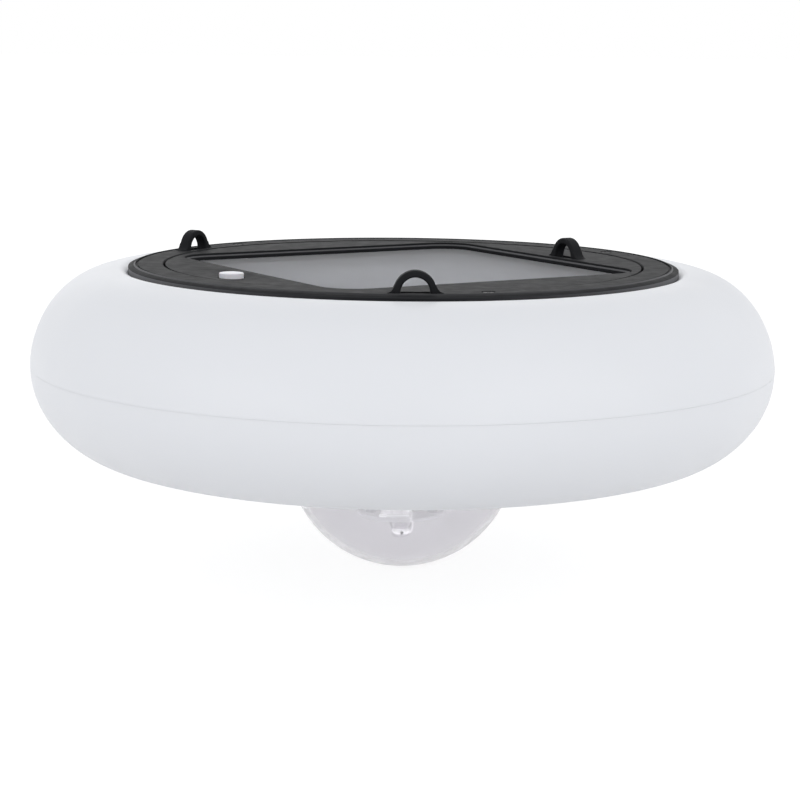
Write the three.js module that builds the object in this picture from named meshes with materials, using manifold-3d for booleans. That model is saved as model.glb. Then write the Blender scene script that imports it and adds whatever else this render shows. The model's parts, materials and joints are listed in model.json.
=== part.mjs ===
// Floating pool light: a white moulded float with a black top that carries a solar panel, a push
// button and three tether eyes, and a clear dome below that a lamp shines through.
// Millimetres, +Z up. The origin is on the float's axis, in the plane of its parting line.

import Module from "manifold-3d";
import * as THREE from "three";
import { mergeVertices } from "three/addons/utils/BufferGeometryUtils.js";

const wasm = await Module();
wasm.setup();

// Clearances
const gap = 0.3; // left between pieces that touch
const overrun = 1; // how far a cutting shape runs past the face it cuts
const bite = 0.5; // how deep a boss or rib is sunk into the wall that it grows from

// Facets
const shellSides = 40;
const tubSides = 24;
const holeSides = 12;
const pinSides = 8;
const cornerSteps = 3;
const skinSteps = 6;
const liningSteps = 3;
const wireSides = 6;

// Float shells
const floatWall = 3;
const shoulderWidth = 41; // from the crest, where the upper skin is highest, out to the seam
const crestHeight = 44.2;
const upperFullness = 16.3; // handles of the upper skin's curve: up from the seam, out from the crest
const upperShoulder = 29.1;
const bottomShoulder = 33.5; // from the edge of the flat underside out to the seam
const bottomDepth = 41.2;
const lowerFullness = 25.4;
const lowerShoulder = 10.9;
const liningEase = 1.5; // how much shorter the handles of the skins' inner curves are
const tongueLength = 4; // lap joint at the parting line
const tongueWall = 1.35;
const seatLap = 1.4; // how far the seat reaches in under the bezel's bore
const portClearance = 0.4; // round the dome, in the opening in the bottom

// Bezel ring round the panel
const bezelWidth = 16.5;
const bezelProud = 2; // bezel's top face over the float's crest
const crestOffset = 4.6; // from the bezel's rim out to the crest
const bezelThickness = 3;
const rimDepth = 5.1; // rim's outer face, from the top down to the float
const rimSlope = 1.3; // how far the rim's outer lip falls away, and over what width
const rimSlopeWidth = 3;
const bezelChamfer = 0.7;
const lipWidth = 3.5; // raised lip outside the decorative groove
const grooveWidth = 0.8;
const grooveDepth = 0.6;
const landingWidth = 1; // float skin that shows as a flat round the rim
const landingBend = 1.8;
const rimOverhang = 1.2; // rim outside the gasket's seat
const footWidth = 2.2; // foot that rests on the float's seat, outside the ledge
const gasketHeight = 3;
const gasketWidth = 3.9;

// Screws
const screwShank = 1.3;
const screwHead = 2.6;
const headHeight = 1.5;
const bezelScrewAngles = [90, -14, 194];
const bezelScrewLength = 17;
const bossWall = 1.6; // plastic round a screw hole
const bossFloor = 1.2; // plastic left under a blind screw hole

// Panel tray, glass and cells
const ledgeLap = 2.7; // how far the bezel's ledge reaches in under the tray
const trayDrop = 0.2; // the tray's top face under the bezel's
const trayThickness = 3.4;
const trayMargin = 0.8; // open groove round the tray
const recessSide = 160;
const recessCorner = 15;
const stepWidth = 1.5;
const stepDepth = 1;
const glassDrop = 3.6; // glass under the tray's top face
const glassThickness = 3.4;
const glassBevel = 0.5;
const wellWall = 2.2;
const wellFloor = 3.2;
const sealHeight = 0.9;
const sealWidth = 4.2;
const backplateThickness = 1.2;
const cellSheetThickness = 0.6;
const cellStripCount = 6;
const cellGrooveWidth = 1.2;
const cellGrooveDepth = 0.25;

// Tether eyes
const eyeHalfWidth = 9.2;
const eyeHeight = 9.4;
const eyeLoopHalfWidth = 6.25;
const eyeLoopHeight = 6.6;
const eyeDepth = 5.5;
const eyeBevel = 0.5;
const eyeFlangeHalfWidth = 12;
const eyeFlangeDepth = 5.9;
const eyePadWidth = 1.3; // raised pads on the plate beside the eye's feet
const eyePadHeight = 0.7;
const frontEyeAngle = -29;
const leftEyeAngle = 210;
const rearEyeX = 10.6;
const rearEyeInset = 6.2; // from the recess's step to the middle of the rear eye
const eyeStakeOffset = 10.5; // from the eye's middle to the stakes that hold the rear flange

// Push button and its switch
const buttonX = 12.6;
const buttonInset = 15.7; // from the recess's step to the button's axis
const buttonRadius = 5.5;
const buttonProud = 1.4; // top of the cap over the tray's face
const buttonCrown = 0.25;
const buttonEdge = 0.7;
const buttonTravel = 1.5;
const buttonFlange = 0.9; // how far the cap's retaining flange stands out
const buttonFlangeHeight = 1.6;
const stopThickness = 4.2; // plate over the retaining flange
const stemRadius = 2;
const stemLength = 3.6;
const dishHalfLength = 33; // scooped finger dish, along the recess's side
const dishHalfWidth = 12.5;
const dishDepth = 1.2;
const dishRise = 4; // half-height of the ball that scoops it
const sleeveWall = 1.1;
const sleeveDepth = 6;
const buttonRing = 0.55; // radius of the sealing ring's cord
const buttonRingDrop = 2; // from the tray's face to the sealing ring
const springRadius = 5.7;
const springWire = 0.4;
const springTurns = 5;
const springStepsPerTurn = 8;
const plungerRadius = 1.75;
const plungerLength = 2.8;
const switchSide = 6;
const switchHeight = 3.5;
const switchBoardThickness = 1.2;
const holderWall = 1.6;
const holderLap = 3; // how far the holder covers the sleeve

// Tub that holds the works
const packMargin = 6.55; // between the battery pack's corners and the tub
const tubWall = 3.4;
const tubFloor = 2.2;
const tubPlug = 1.7; // how far the tub's underside stands below the clamp ring's flange
const tubFlange = 9.3;
const tubFlangeThickness = 3;
const tubGasketHeight = 1.2;
const tubScrewCount = 4;
const tubScrewInset = 4.5; // from the flange's edge
const tubRingCord = 0.95;
const tubRingRise = 7; // sealing ring over the tub's underside
const gussetHeight = 14;
const gussetWidth = 6;
const gussetThickness = 2;
const grommetDrop = 17; // grommet's axis under the tub's top
const grommetX = 10;
const grommetRadius = 3.6;
const grommetFlange = 1.5;
const grommetFlangeThickness = 1.5;
const grommetLength = 8;

// Battery pack
const cellCount = 4;
const batteryRadius = 7.25;
const batteryLength = 49.4;
const nubRadius = 2.75;
const nubLength = 1.1;
const batteryRound = 0.8;
const batteryPitch = 15.4;
const holderBase = 1.8;
const troughHeight = 7;
const endWall = 2;
const contactThickness = 0.5;
const contactHeight = 8;
const contactInset = 3; // strip ends in from the pack's sides
const packSideWall = 1.2;

// Main board
const boardMargin = 1.3; // between the board's edge and the tub
const boardThickness = 1.6;
const boardRise = 14.6; // board's underside over the battery pack
const boardPostInset = 3.5;
const boardPostRadius = 3;
const boardPostAngles = [0, 120, 240];
const boardHoleInset = 10;
const boardHoleRadius = 4;
const capacitorRadius = 5;
const capacitorHeight = 14;
const capacitorX = 22;
const capacitorY = 14;
const chipSide = 12;
const chipHeight = 2;
const chipX = -14;
const chipY = 6;
const inductorSide = 10;
const inductorHeight = 5;
const inductorX = -20;
const inductorY = -14;

// Dome, its gasket and clamp ring
const socketInset = 2; // tub's socket inside the dome's radius
const domeWall = 2.2;
const domeStraight = 3.6; // straight wall under the float, above the half ball
const domeFlange = 5.8;
const domeFlangeThickness = 2.4;
const domeGasketHeight = 1.2;
const domeGasketInset = 0.5;
const clampRim = 5; // flange outside the screws
const clampFlangeThickness = 3;
const clampSocketHeight = 10;
const clampScrewOffset = 5.2; // from the dome's flange to the screws
const clampScrewCount = 4;

// Lamp in the dome
const lampTurn = 58.6; // degrees that the lamp board is turned from the panel's sides
const bracketInset = 6.7; // from the tub's side to the bracket's ring
const bracketWidth = 13;
const bracketThickness = 2;
const legAngles = [30, 150, 270];
const bracketStakeAngles = [60, 180, 300];
const legTopInset = 6;
const legFootInset = 4;
const legWidth = 5;
const legThickness = 2;
const legFoot = 2;
const lampDrop = 31.8; // lamp board under the float's underside
const lampBoardRadius = 21;
const lampBoardThickness = 1.8;
const blockWidth = 15.3;
const blockDepth = 6;
const blockHeight = 4.2;
const blockX = -2;
const blockY = -13;
const postRadius = 3.2;
const postHeight = 7.6;
const ledRadius = 4.55;
const ledBase = 1.6;
const ledLens = 2.5;
const ledLeadX = 5.5;

// Cables and stakes
const cableRadius = 1;
const cableStraight = 3; // straight run before the first bend
const cableSlack = 4; // how far a cable bows to the side
const cableBend = 8; // room that a cable takes to turn
const solarCableY = 30;
const lampCableInset = 8; // from the bracket's edge to the lamp's cable
const lampCableEnd = 11; // from the axis to where the cable lands on the lamp board
const packCableY = -30;
const switchCableY = -26;
const ledLeadRadius = 0.45;
const stakeRadius = 0.8; // moulded pins that are melted over to hold a flange or a board
const stakeHead = 0.8; // how far they stand past what they hold

// Heights of the faces in the top stack, from the bezel's top face down
const bezelTop = crestHeight + bezelProud;
const bezelUnder = bezelTop - bezelThickness;
const rimUnder = bezelTop - rimDepth;
const landingHeight = rimUnder - gap;
const gasketTop = bezelUnder - gap;
const seatHeight = gasketTop - gasketHeight - gap;
const footHeight = seatHeight + gap;
const trayTop = bezelTop - trayDrop;
const trayUnder = trayTop - trayThickness;
const ledgeTop = trayUnder - gap;
const glassTop = trayTop - glassDrop;
const sealTop = glassTop - glassThickness - gap;
const backplateTop = sealTop - sealHeight - gap;
const wellFloorTop = backplateTop - backplateThickness - gap;
const wellFloorUnder = wellFloorTop - wellFloor;
const tubGasketTop = wellFloorUnder - gap;
const tubTop = tubGasketTop - tubGasketHeight - gap;
const grommetHeight = tubTop - grommetDrop;

// Push button and switch, from the tray's top face down
const buttonHole = buttonRadius + gap;
const flangeRadius = buttonRadius + buttonFlange;
const sleeveBore = flangeRadius + gap;
const sleeveRadius = sleeveBore + sleeveWall;
const stopHeight = trayTop - stopThickness;
const capFlangeTop = stopHeight - gap;
const capFlangeUnder = capFlangeTop - buttonFlangeHeight;
const stemEnd = capFlangeUnder - stemLength;
const plungerTop = stemEnd - gap;
const switchTop = plungerTop - buttonTravel - 3 * gap;
const switchUnder = switchTop - switchHeight;
const switchBoardTop = switchUnder - gap;
const switchBoardUnder = switchBoardTop - switchBoardThickness;
const sleeveEnd = trayUnder - sleeveDepth;
const holderTop = sleeveEnd + holderLap;
const holderBore = sleeveRadius + gap;
const holderRadius = holderBore + holderWall;
const switchBoardRadius = holderBore - gap;
const holderFloorTop = switchBoardUnder - gap;

// Radii of the top, from the recess for the panel outwards
const wellSide = recessSide + 2 * wellWall;
const wellCorner = recessCorner + wellWall;
const wellReach = (wellSide / 2 - wellCorner) * Math.SQRT2 + wellCorner;
const buttonY = -recessSide / 2 - stepWidth - buttonInset;
const rearEyeY = recessSide / 2 + stepWidth + rearEyeInset;
const sleeveReach = Math.hypot(buttonX, buttonY) + sleeveRadius;
const ledgeBore = Math.max(wellReach, sleeveReach) + gap;
const trayRadius = ledgeBore + ledgeLap;
const bezelBore = trayRadius + trayMargin;
const bezelRadius = bezelBore + bezelWidth;
const footRadius = bezelBore + footWidth;
const throatRadius = bezelBore - seatLap;
const grooveRadius = bezelRadius - lipWidth;
const landingRadius = bezelRadius + landingWidth;
const seatRadius = bezelRadius - rimOverhang;
const gasketRadius = seatRadius - gap;
const eyeCircle = (footRadius + gasketRadius - gasketWidth) / 2; // midway between foot and gasket
const eyeFlangeThickness = gasketTop - footHeight;
const crestRadius = bezelRadius + crestOffset;
const floatRadius = crestRadius + shoulderWidth;
const bottomRadius = floatRadius - bottomShoulder;
const screwHole = screwShank + gap;
const bossRadius = screwHole + bossWall;

// Radii of the works, from the battery pack outwards
const packBore = batteryLength + nubLength + 2 * (contactThickness + 2 * gap);
const packLength = packBore + 2 * endWall;
const packWidth = cellCount * batteryPitch + 2 * packSideWall;
const tubBore = Math.hypot(packWidth / 2, packLength / 2) + packMargin;
const tubRadius = tubBore + tubWall;
const tubFlangeRadius = tubRadius + tubFlange;
const tubScrewCircle = tubFlangeRadius - tubScrewInset;
const tubScrewAngles = [45, 135, 225, 315];
const boardRadius = tubBore - boardMargin;
const boardPostCircle = boardRadius - boardPostInset;
const boardHoleY = -boardRadius + boardHoleInset;
const bracketRadius = tubRadius - bracketInset;
const bracketBore = bracketRadius - bracketWidth;
const bracketStakeCircle = (bracketRadius + bracketBore) / 2;
const legTopCircle = bracketRadius - legTopInset;
const legFootCircle = lampBoardRadius - legFootInset;
const socketRadius = tubRadius + gap;
const domeRadius = socketRadius + socketInset;
const portRadius = domeRadius + portClearance;
const clampScrewCircle = domeRadius + domeFlange + clampScrewOffset;
const clampFlangeRadius = clampScrewCircle + clampRim;
const lampCableY = bracketRadius - lampCableInset;
const cableHole = cableRadius + gap;

// Heights of the works, from the float's underside up and down
const shellFloor = -bottomDepth + floatWall;
const domeFlangeUnder = shellFloor + gap + domeGasketHeight + gap;
const domeFlangeTop = domeFlangeUnder + domeFlangeThickness;
const clampUnder = domeFlangeTop + gap;
const clampTop = clampUnder + clampFlangeThickness;
const tubBottom = clampTop - tubPlug;
const tubRingHeight = tubBottom + tubRingRise;
const tubFloorTop = tubBottom + tubFloor;
const batteryMiddle = tubFloorTop + gap + holderBase + gap + batteryRadius;
const packTop = batteryMiddle + batteryRadius + gap;
const boardHeight = packTop + boardRise;
const boardTop = boardHeight + boardThickness;
const bracketTop = tubBottom - gap;
const bracketUnder = bracketTop - bracketThickness;
const domeMiddle = -bottomDepth - domeStraight;
const lampBoardTop = -bottomDepth - lampDrop;
const lampBoardUnder = lampBoardTop - lampBoardThickness;

// Finishes
const finishes = {
  floatPlastic: { color: 0xe6e7ea, roughness: 0.5 },
  blackPlastic: { color: 0x34353a, roughness: 0.6 },
  buttonPlastic: { color: 0xdbdce0, roughness: 0.4 },
  whitePlastic: { color: 0xd4d5d8, roughness: 0.5 },
  greyPlastic: { color: 0x8a8d92, roughness: 0.6 },
  rubber: { color: 0x1e1e20, roughness: 0.9 },
  silicone: { color: 0xb9bcc0, roughness: 0.8 },
  clearPlastic: { color: 0xdfe3ea, roughness: 0.1, transparent: true, opacity: 0.4 },
  glass: { color: 0x8b9099, roughness: 0.08 },
  silicon: { color: 0x1c2436, roughness: 0.3 },
  steel: { color: 0xa9abae, roughness: 0.3, metalness: 1 },
  boardGreen: { color: 0x1f5a3c, roughness: 0.5 },
  boardWhite: { color: 0xbfc2c6, roughness: 0.5 },
  component: { color: 0x26272a, roughness: 0.6 },
  cellWrap: { color: 0x3d7a4a, roughness: 0.4 },
  cableJacket: { color: 0x8f1d1d, roughness: 0.5 },
};

// Tools for geometry

const radians = THREE.MathUtils.degToRad;

function piece(name, geometry, finish) {
  const mesh = new THREE.Mesh(geometry, new THREE.MeshStandardMaterial(finishes[finish]));
  mesh.name = name;
  return mesh;
}

// A closed mesh as a solid: shared corners are merged and slivers without area are dropped.
function solidOf(geometry) {
  const bare = geometry.clone();
  bare.deleteAttribute("normal");
  bare.deleteAttribute("uv");
  const merged = mergeVertices(bare);
  const corners = merged.index.array;
  const kept = [];
  for (let i = 0; i < corners.length; i += 3) {
    const [a, b, c] = corners.slice(i, i + 3);
    if (a !== b && b !== c && c !== a) kept.push(a, b, c);
  }
  return new wasm.Manifold(new wasm.Mesh({
    numProp: 3,
    vertProperties: new Float32Array(merged.attributes.position.array),
    triVerts: new Uint32Array(kept),
  }));
}

function geometryOf(solid) {
  const mesh = solid.getMesh();
  const geometry = new THREE.BufferGeometry();
  geometry.setAttribute("position", new THREE.BufferAttribute(mesh.vertProperties, 3));
  geometry.setIndex(new THREE.BufferAttribute(mesh.triVerts, 1));
  geometry.computeVertexNormals();
  return geometry;
}

function join(first, ...others) {
  return geometryOf(others.reduce((sum, other) => sum.add(solidOf(other)), solidOf(first)));
}

function cut(first, ...tools) {
  return geometryOf(tools.reduce((rest, tool) => rest.subtract(solidOf(tool)), solidOf(first)));
}

// Points along a plane curve, as [radius, height] corners.
function along(curve, steps) {
  return curve.getPoints(steps).map((p) => p.toArray());
}

function bend(corners, steps) {
  const points = corners.map(([r, z]) => new THREE.Vector2(r, z));
  const Curve = points.length === 4 ? THREE.CubicBezierCurve : THREE.QuadraticBezierCurve;
  return along(new Curve(...points), steps);
}

function arc(radius, middle, from, to, steps) {
  const [start, end] = [from, to].map(radians);
  return along(new THREE.EllipseCurve(0, middle, radius, radius, start, end, from > to), steps);
}

// A body of revolution about Z. Its [radius, height] corners run anticlockwise, and either close
// on themselves or start and end on the axis.
function revolve(corners, sides) {
  const points = corners.map(([r, z]) => new THREE.Vector2(Math.abs(r) < Number.EPSILON * sides ? 0 : r, z));
  const meetsAxis = points[0].x === 0 && points.at(-1).x === 0;
  if (!meetsAxis) points.push(points[0].clone());
  return new THREE.LatheGeometry(points, sides).rotateX(Math.PI / 2);
}

function tube(outer, inner, low, high, sides) {
  return revolve([[inner, low], [outer, low], [outer, high], [inner, high]], sides);
}

function rod(radius, low, high, sides = pinSides) {
  return revolve([[0, low], [radius, low], [radius, high], [0, high]], sides);
}

// A ring of round cord.
function cordRing(middleRadius, cordRadius, height, sides) {
  const section = new THREE.EllipseCurve(middleRadius, height, cordRadius, cordRadius);
  return revolve(along(section, wireSides).slice(0, -1), sides);
}

function box(width, depth, low, high) {
  return new THREE.BoxGeometry(width, depth, high - low).translate(0, 0, (low + high) / 2);
}

function roundedSquare(side, corner) {
  const straight = side / 2 - corner;
  const shape = new THREE.Shape();
  shape.absarc(straight, straight, corner, 0, Math.PI / 2);
  shape.absarc(-straight, straight, corner, Math.PI / 2, Math.PI);
  shape.absarc(-straight, -straight, corner, Math.PI, 1.5 * Math.PI);
  shape.absarc(straight, -straight, corner, 1.5 * Math.PI, 2 * Math.PI);
  return shape;
}

function slab(shape, low, high) {
  const options = { depth: high - low, bevelEnabled: false, curveSegments: cornerSteps };
  return new THREE.ExtrudeGeometry(shape, options).translate(0, 0, low);
}

// An extruded plate with bevelled edges that lies inside its outline.
function bevelledSlab(shape, low, high, bevel) {
  return new THREE.ExtrudeGeometry(shape, {
    depth: high - low - 2 * bevel,
    curveSegments: cornerSteps,
    bevelThickness: bevel,
    bevelSize: bevel,
    bevelOffset: -bevel,
    bevelSegments: 1,
  }).translate(0, 0, low + bevel);
}

// Copies of a geometry at the same radius, at angles in degrees.
function around(angles, radius, geometry) {
  return angles.map((angle) => geometry.clone().translate(radius, 0, 0).rotateZ(radians(angle)));
}

function evenAngles(count, first = 0) {
  return Array.from({ length: count }, (_, i) => first + (360 * i) / count);
}

// A pan-head screw whose head sits on the given height and whose shank runs down.
function panScrew(seat, length) {
  const corners = [[0, seat - length], [screwShank, seat - length], [screwShank, seat],
    [screwHead, seat], [screwHead, seat + headHeight / 2], [0, seat + headHeight]];
  return revolve(corners, pinSides);
}

// A round wire along a smooth curve through the given points.
function wire(points, radius) {
  const route = new THREE.CatmullRomCurve3(points.map((p) => new THREE.Vector3(...p)));
  const section = new THREE.Shape().absarc(0, 0, radius, 0, 2 * Math.PI);
  const options = { steps: 3 * (points.length - 1), curveSegments: wireSides / 2, extrudePath: route };
  return new THREE.ExtrudeGeometry(section, options);
}

// Float

function upperShell() {
  const inside = floatRadius - floatWall;
  const tongueRadius = inside + tongueWall;
  const seatUnder = seatHeight - floatWall;
  const skinUnder = crestHeight - floatWall;
  const profile = [
    [tongueRadius, gap / 2],
    ...bend([[floatRadius, gap / 2], [floatRadius, upperFullness],
      [crestRadius + upperShoulder, crestHeight], [crestRadius, crestHeight]], skinSteps),
    ...bend([[crestRadius, crestHeight], [landingRadius + landingBend, crestHeight],
      [landingRadius, landingHeight]], cornerSteps).slice(1),
    [seatRadius, landingHeight], [seatRadius, seatHeight], [throatRadius, seatHeight],
    [throatRadius, seatUnder], [seatRadius + floatWall, seatUnder],
    ...bend([[crestRadius, skinUnder], [crestRadius + upperShoulder - liningEase, skinUnder],
      [inside, upperFullness - liningEase], [inside, gap]], liningSteps),
    [inside, -tongueLength], [tongueRadius, -tongueLength],
  ];
  const holeEnd = bezelTop - bezelScrewLength - gap;
  const boss = rod(bossRadius, holeEnd - bossFloor, seatUnder + bite);
  const hole = rod(screwHole, holeEnd, seatHeight + overrun);
  const skin = join(revolve(profile, shellSides), ...around(bezelScrewAngles, eyeCircle, boss));
  return piece(
    "float_shell_upper", cut(skin, ...around(bezelScrewAngles, eyeCircle, hole)), "floatPlastic");
}

function lowerShell() {
  const inside = floatRadius - floatWall;
  const lapRadius = inside + tongueWall + gap;
  const lapEnd = -tongueLength - gap;
  const profile = [
    [portRadius, -bottomDepth],
    ...bend([[bottomRadius, -bottomDepth], [bottomRadius + lowerShoulder, -bottomDepth],
      [floatRadius, -lowerFullness], [floatRadius, -gap / 2]], skinSteps),
    [lapRadius, -gap / 2], [lapRadius, lapEnd],
    ...bend([[inside, lapEnd], [inside, -lowerFullness + liningEase],
      [bottomRadius + lowerShoulder - liningEase, shellFloor], [bottomRadius, shellFloor]], liningSteps),
    [portRadius, shellFloor],
  ];
  const bossAngles = evenAngles(clampScrewCount);
  const boss = rod(bossRadius, shellFloor - bite, domeFlangeTop);
  const hole = rod(screwHole, -bottomDepth + bossFloor, domeFlangeTop + overrun);
  const skin = join(revolve(profile, shellSides), ...around(bossAngles, clampScrewCircle, boss));
  return piece("float_shell_lower", cut(skin, ...around(bossAngles, clampScrewCircle, hole)), "floatPlastic");
}

// Tether eyes: each is pushed up through a slot in the plate that carries it, and its flange,
// under the plate, takes the pull. The eye's loop faces along its own Y.

function eyeSlot(plateTop, plateThickness) {
  const width = 2 * (eyeHalfWidth + gap);
  return box(width, eyeDepth + 2 * gap, plateTop - plateThickness - overrun, plateTop + overrun);
}

function eyePads(plateTop) {
  const pad = box(eyePadWidth, eyeDepth, plateTop - bite, plateTop + eyePadHeight);
  const offset = eyeHalfWidth + gap + eyePadWidth / 2;
  return [-offset, offset].map((x) => pad.clone().translate(x, 0, 0));
}

function eyeStakes(radius, low, high) {
  return [-eyeStakeOffset, eyeStakeOffset].map((x) => rod(radius, low, high).translate(x, 0, 0));
}

// An eye whose foot stands on z = 0, the top of the plate that carries it.
function eyeBody(plateThickness) {
  const flangeTop = -plateThickness - gap;
  const flangeUnder = flangeTop - eyeFlangeThickness;
  const legEnd = flangeTop - bite;
  const arch = new THREE.Shape();
  arch.moveTo(eyeHalfWidth, legEnd);
  arch.lineTo(eyeHalfWidth, 0);
  arch.absellipse(0, 0, eyeHalfWidth, eyeHeight, 0, Math.PI);
  arch.lineTo(-eyeHalfWidth, legEnd);
  arch.lineTo(-eyeLoopHalfWidth, legEnd);
  arch.lineTo(-eyeLoopHalfWidth, 0);
  arch.absellipse(0, 0, eyeLoopHalfWidth, eyeLoopHeight, Math.PI, 0, true);
  arch.lineTo(eyeLoopHalfWidth, legEnd);
  const band = bevelledSlab(arch, -eyeDepth / 2, eyeDepth / 2, eyeBevel).rotateX(Math.PI / 2);
  return join(box(2 * eyeFlangeHalfWidth, eyeFlangeDepth, flangeUnder, flangeTop), band);
}

// Places eyes, slots and pads that were made at the origin: the loop then faces along the angle.
function atEye(place, geometries) {
  return geometries.map(
    (geometry) => geometry.clone().rotateZ(radians(place.angle - 90)).translate(place.x, place.y, 0));
}

function onRing(angle) {
  return { x: eyeCircle * Math.cos(radians(angle)), y: eyeCircle * Math.sin(radians(angle)), angle };
}

const frontEye = onRing(frontEyeAngle);
const leftEye = onRing(leftEyeAngle);
const rearEye = { x: rearEyeX, y: rearEyeY, angle: 90 };

function tetherEyes() {
  const onBezel = eyeBody(bezelThickness).translate(0, 0, bezelTop);
  const stakeHole = eyeStakes(stakeRadius + gap, seatHeight - overrun, trayUnder);
  const onTray = cut(eyeBody(trayThickness).translate(0, 0, trayTop), ...stakeHole);
  return [
    piece("tether_eye_front", atEye(frontEye, [onBezel])[0], "blackPlastic"),
    piece("tether_eye_left", atEye(leftEye, [onBezel])[0], "blackPlastic"),
    piece("tether_eye_rear", atEye(rearEye, [onTray])[0], "blackPlastic"),
  ];
}

// Bezel

function bezelRing() {
  const grooveFloor = bezelTop - grooveDepth;
  const profile = [
    [ledgeBore, footHeight], [footRadius, footHeight], [footRadius, bezelUnder],
    [seatRadius, bezelUnder], [seatRadius, rimUnder],
    [bezelRadius - bezelChamfer, rimUnder], [bezelRadius, rimUnder + bezelChamfer],
    ...bend([[bezelRadius, bezelTop - rimSlope], [bezelRadius, bezelTop],
      [bezelRadius - rimSlopeWidth, bezelTop]], cornerSteps),
    [grooveRadius, bezelTop], [grooveRadius, grooveFloor],
    [grooveRadius - grooveWidth, grooveFloor], [grooveRadius - grooveWidth, bezelTop],
    [bezelBore, bezelTop], [bezelBore, ledgeTop], [ledgeBore, ledgeTop],
  ];
  const post = rod(bossRadius, footHeight, bezelUnder + bite);
  const sink = revolve([
    [0, footHeight - overrun], [screwHole, footHeight - overrun],
    [screwHole, bezelTop - headHeight - gap], [screwHead + gap, bezelTop - gap],
    [screwHead + gap, bezelTop + overrun], [0, bezelTop + overrun],
  ], pinSides);
  const body = join(
    revolve(profile, shellSides),
    ...around(bezelScrewAngles, eyeCircle, post),
    ...[frontEye, leftEye].flatMap((place) => atEye(place, eyePads(bezelTop))));
  const finished = cut(
    body,
    ...around(bezelScrewAngles, eyeCircle, sink),
    ...[frontEye, leftEye].flatMap((place) => atEye(place, [eyeSlot(bezelTop, bezelThickness)])));
  return piece("bezel_ring", finished, "blackPlastic");
}

function bezelGasket() {
  const ring = tube(gasketRadius, gasketRadius - gasketWidth, footHeight, gasketTop, shellSides);
  return piece("bezel_gasket", ring, "rubber");
}

function bezelScrews() {
  const headTop = bezelTop - gap;
  const screwEnd = bezelTop - bezelScrewLength;
  const screw = revolve([
    [0, screwEnd], [screwShank, screwEnd], [screwShank, headTop - headHeight],
    [screwHead, headTop - gap], [screwHead, headTop], [0, headTop],
  ], pinSides);
  return around(bezelScrewAngles, eyeCircle, screw)
    .map((geometry, i) => piece(`bezel_screw_${i + 1}`, geometry, "steel"));
}

// Panel tray, with the well for the solar panel, the button's guide and the rear eye's place

function panelTray() {
  const atButton = (geometry) => geometry.translate(buttonX, buttonY, 0);
  const stakeEnd = trayUnder - gap - eyeFlangeThickness - stakeHead;
  const body = join(
    rod(trayRadius, trayUnder, trayTop, shellSides),
    slab(roundedSquare(wellSide, wellCorner), wellFloorUnder, trayUnder + bite),
    atButton(rod(sleeveRadius, sleeveEnd, trayUnder + bite, holeSides)),
    ...atEye(rearEye, [...eyePads(trayTop), ...eyeStakes(stakeRadius, stakeEnd, trayUnder + bite)]));

  const dishSpread = 1 / Math.sqrt(1 - ((dishRise - dishDepth) / dishRise) ** 2);
  const dish = new THREE.SphereGeometry(1, tubSides, holeSides)
    .rotateX(Math.PI / 2)
    .scale(dishHalfLength * dishSpread, dishHalfWidth * dishSpread, dishRise)
    .translate(0, 0, trayTop - dishDepth + dishRise);
  const guide = revolve([
    [0, sleeveEnd - overrun], [sleeveBore, sleeveEnd - overrun], [sleeveBore, stopHeight],
    [buttonHole, stopHeight], [buttonHole, trayTop + overrun], [0, trayTop + overrun],
  ], holeSides);
  const finished = cut(
    body,
    slab(roundedSquare(recessSide, recessCorner), wellFloorTop, trayTop + overrun),
    slab(roundedSquare(recessSide + 2 * stepWidth, recessCorner + stepWidth),
      trayTop - stepDepth, trayTop + overrun),
    atButton(dish), atButton(guide),
    rod(cableHole, wellFloorUnder - overrun, wellFloorTop + overrun).translate(0, solarCableY, 0),
    ...around(tubScrewAngles, tubScrewCircle,
      rod(screwHole, wellFloorUnder - overrun, wellFloorTop - bossFloor)),
    ...atEye(rearEye, [eyeSlot(trayTop, trayThickness)]));
  return piece("panel_tray", finished, "blackPlastic");
}

function solarPanel() {
  const side = recessSide - 2 * gap;
  const corner = recessCorner - gap;
  const glass = bevelledSlab(
    roundedSquare(side, corner), glassTop - glassThickness, glassTop, glassBevel);
  const sealShape = roundedSquare(side, corner);
  sealShape.holes.push(roundedSquare(side - 2 * sealWidth, corner - sealWidth));
  const seal = slab(sealShape, sealTop - sealHeight, sealTop);
  const backplate = slab(roundedSquare(side, corner), backplateTop - backplateThickness, backplateTop);

  const sheetSide = side - 2 * (sealWidth + gap);
  const sheetLow = backplateTop + gap;
  const sheetTop = sheetLow + cellSheetThickness;
  const sheet = slab(roundedSquare(sheetSide, corner - sealWidth - gap), sheetLow, sheetTop);
  const groove = box(sheetSide + overrun, cellGrooveWidth, sheetTop - cellGrooveDepth, sheetTop + overrun);
  const pitch = sheetSide / cellStripCount;
  const grooves = Array.from(
    { length: cellStripCount - 1 },
    (_, i) => groove.clone().translate(0, (i + 1) * pitch - sheetSide / 2, 0));
  return [
    piece("solar_glass", glass, "glass"),
    piece("panel_seal", seal, "silicone"),
    piece("solar_cell_sheet", cut(sheet, ...grooves), "silicon"),
    piece("solar_backplate", backplate, "boardWhite"),
  ];
}

// Push button: cap, sealing ring, return spring, and the switch that it presses

class Helix extends THREE.Curve {
  constructor(radius, turns, low, high) {
    super();
    Object.assign(this, { radius, turns, low, high });
  }

  getPoint(t, target = new THREE.Vector3()) {
    const angle = 2 * Math.PI * this.turns * t;
    const height = this.low + (this.high - this.low) * t;
    return target.set(this.radius * Math.cos(angle), this.radius * Math.sin(angle), height);
  }
}

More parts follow.
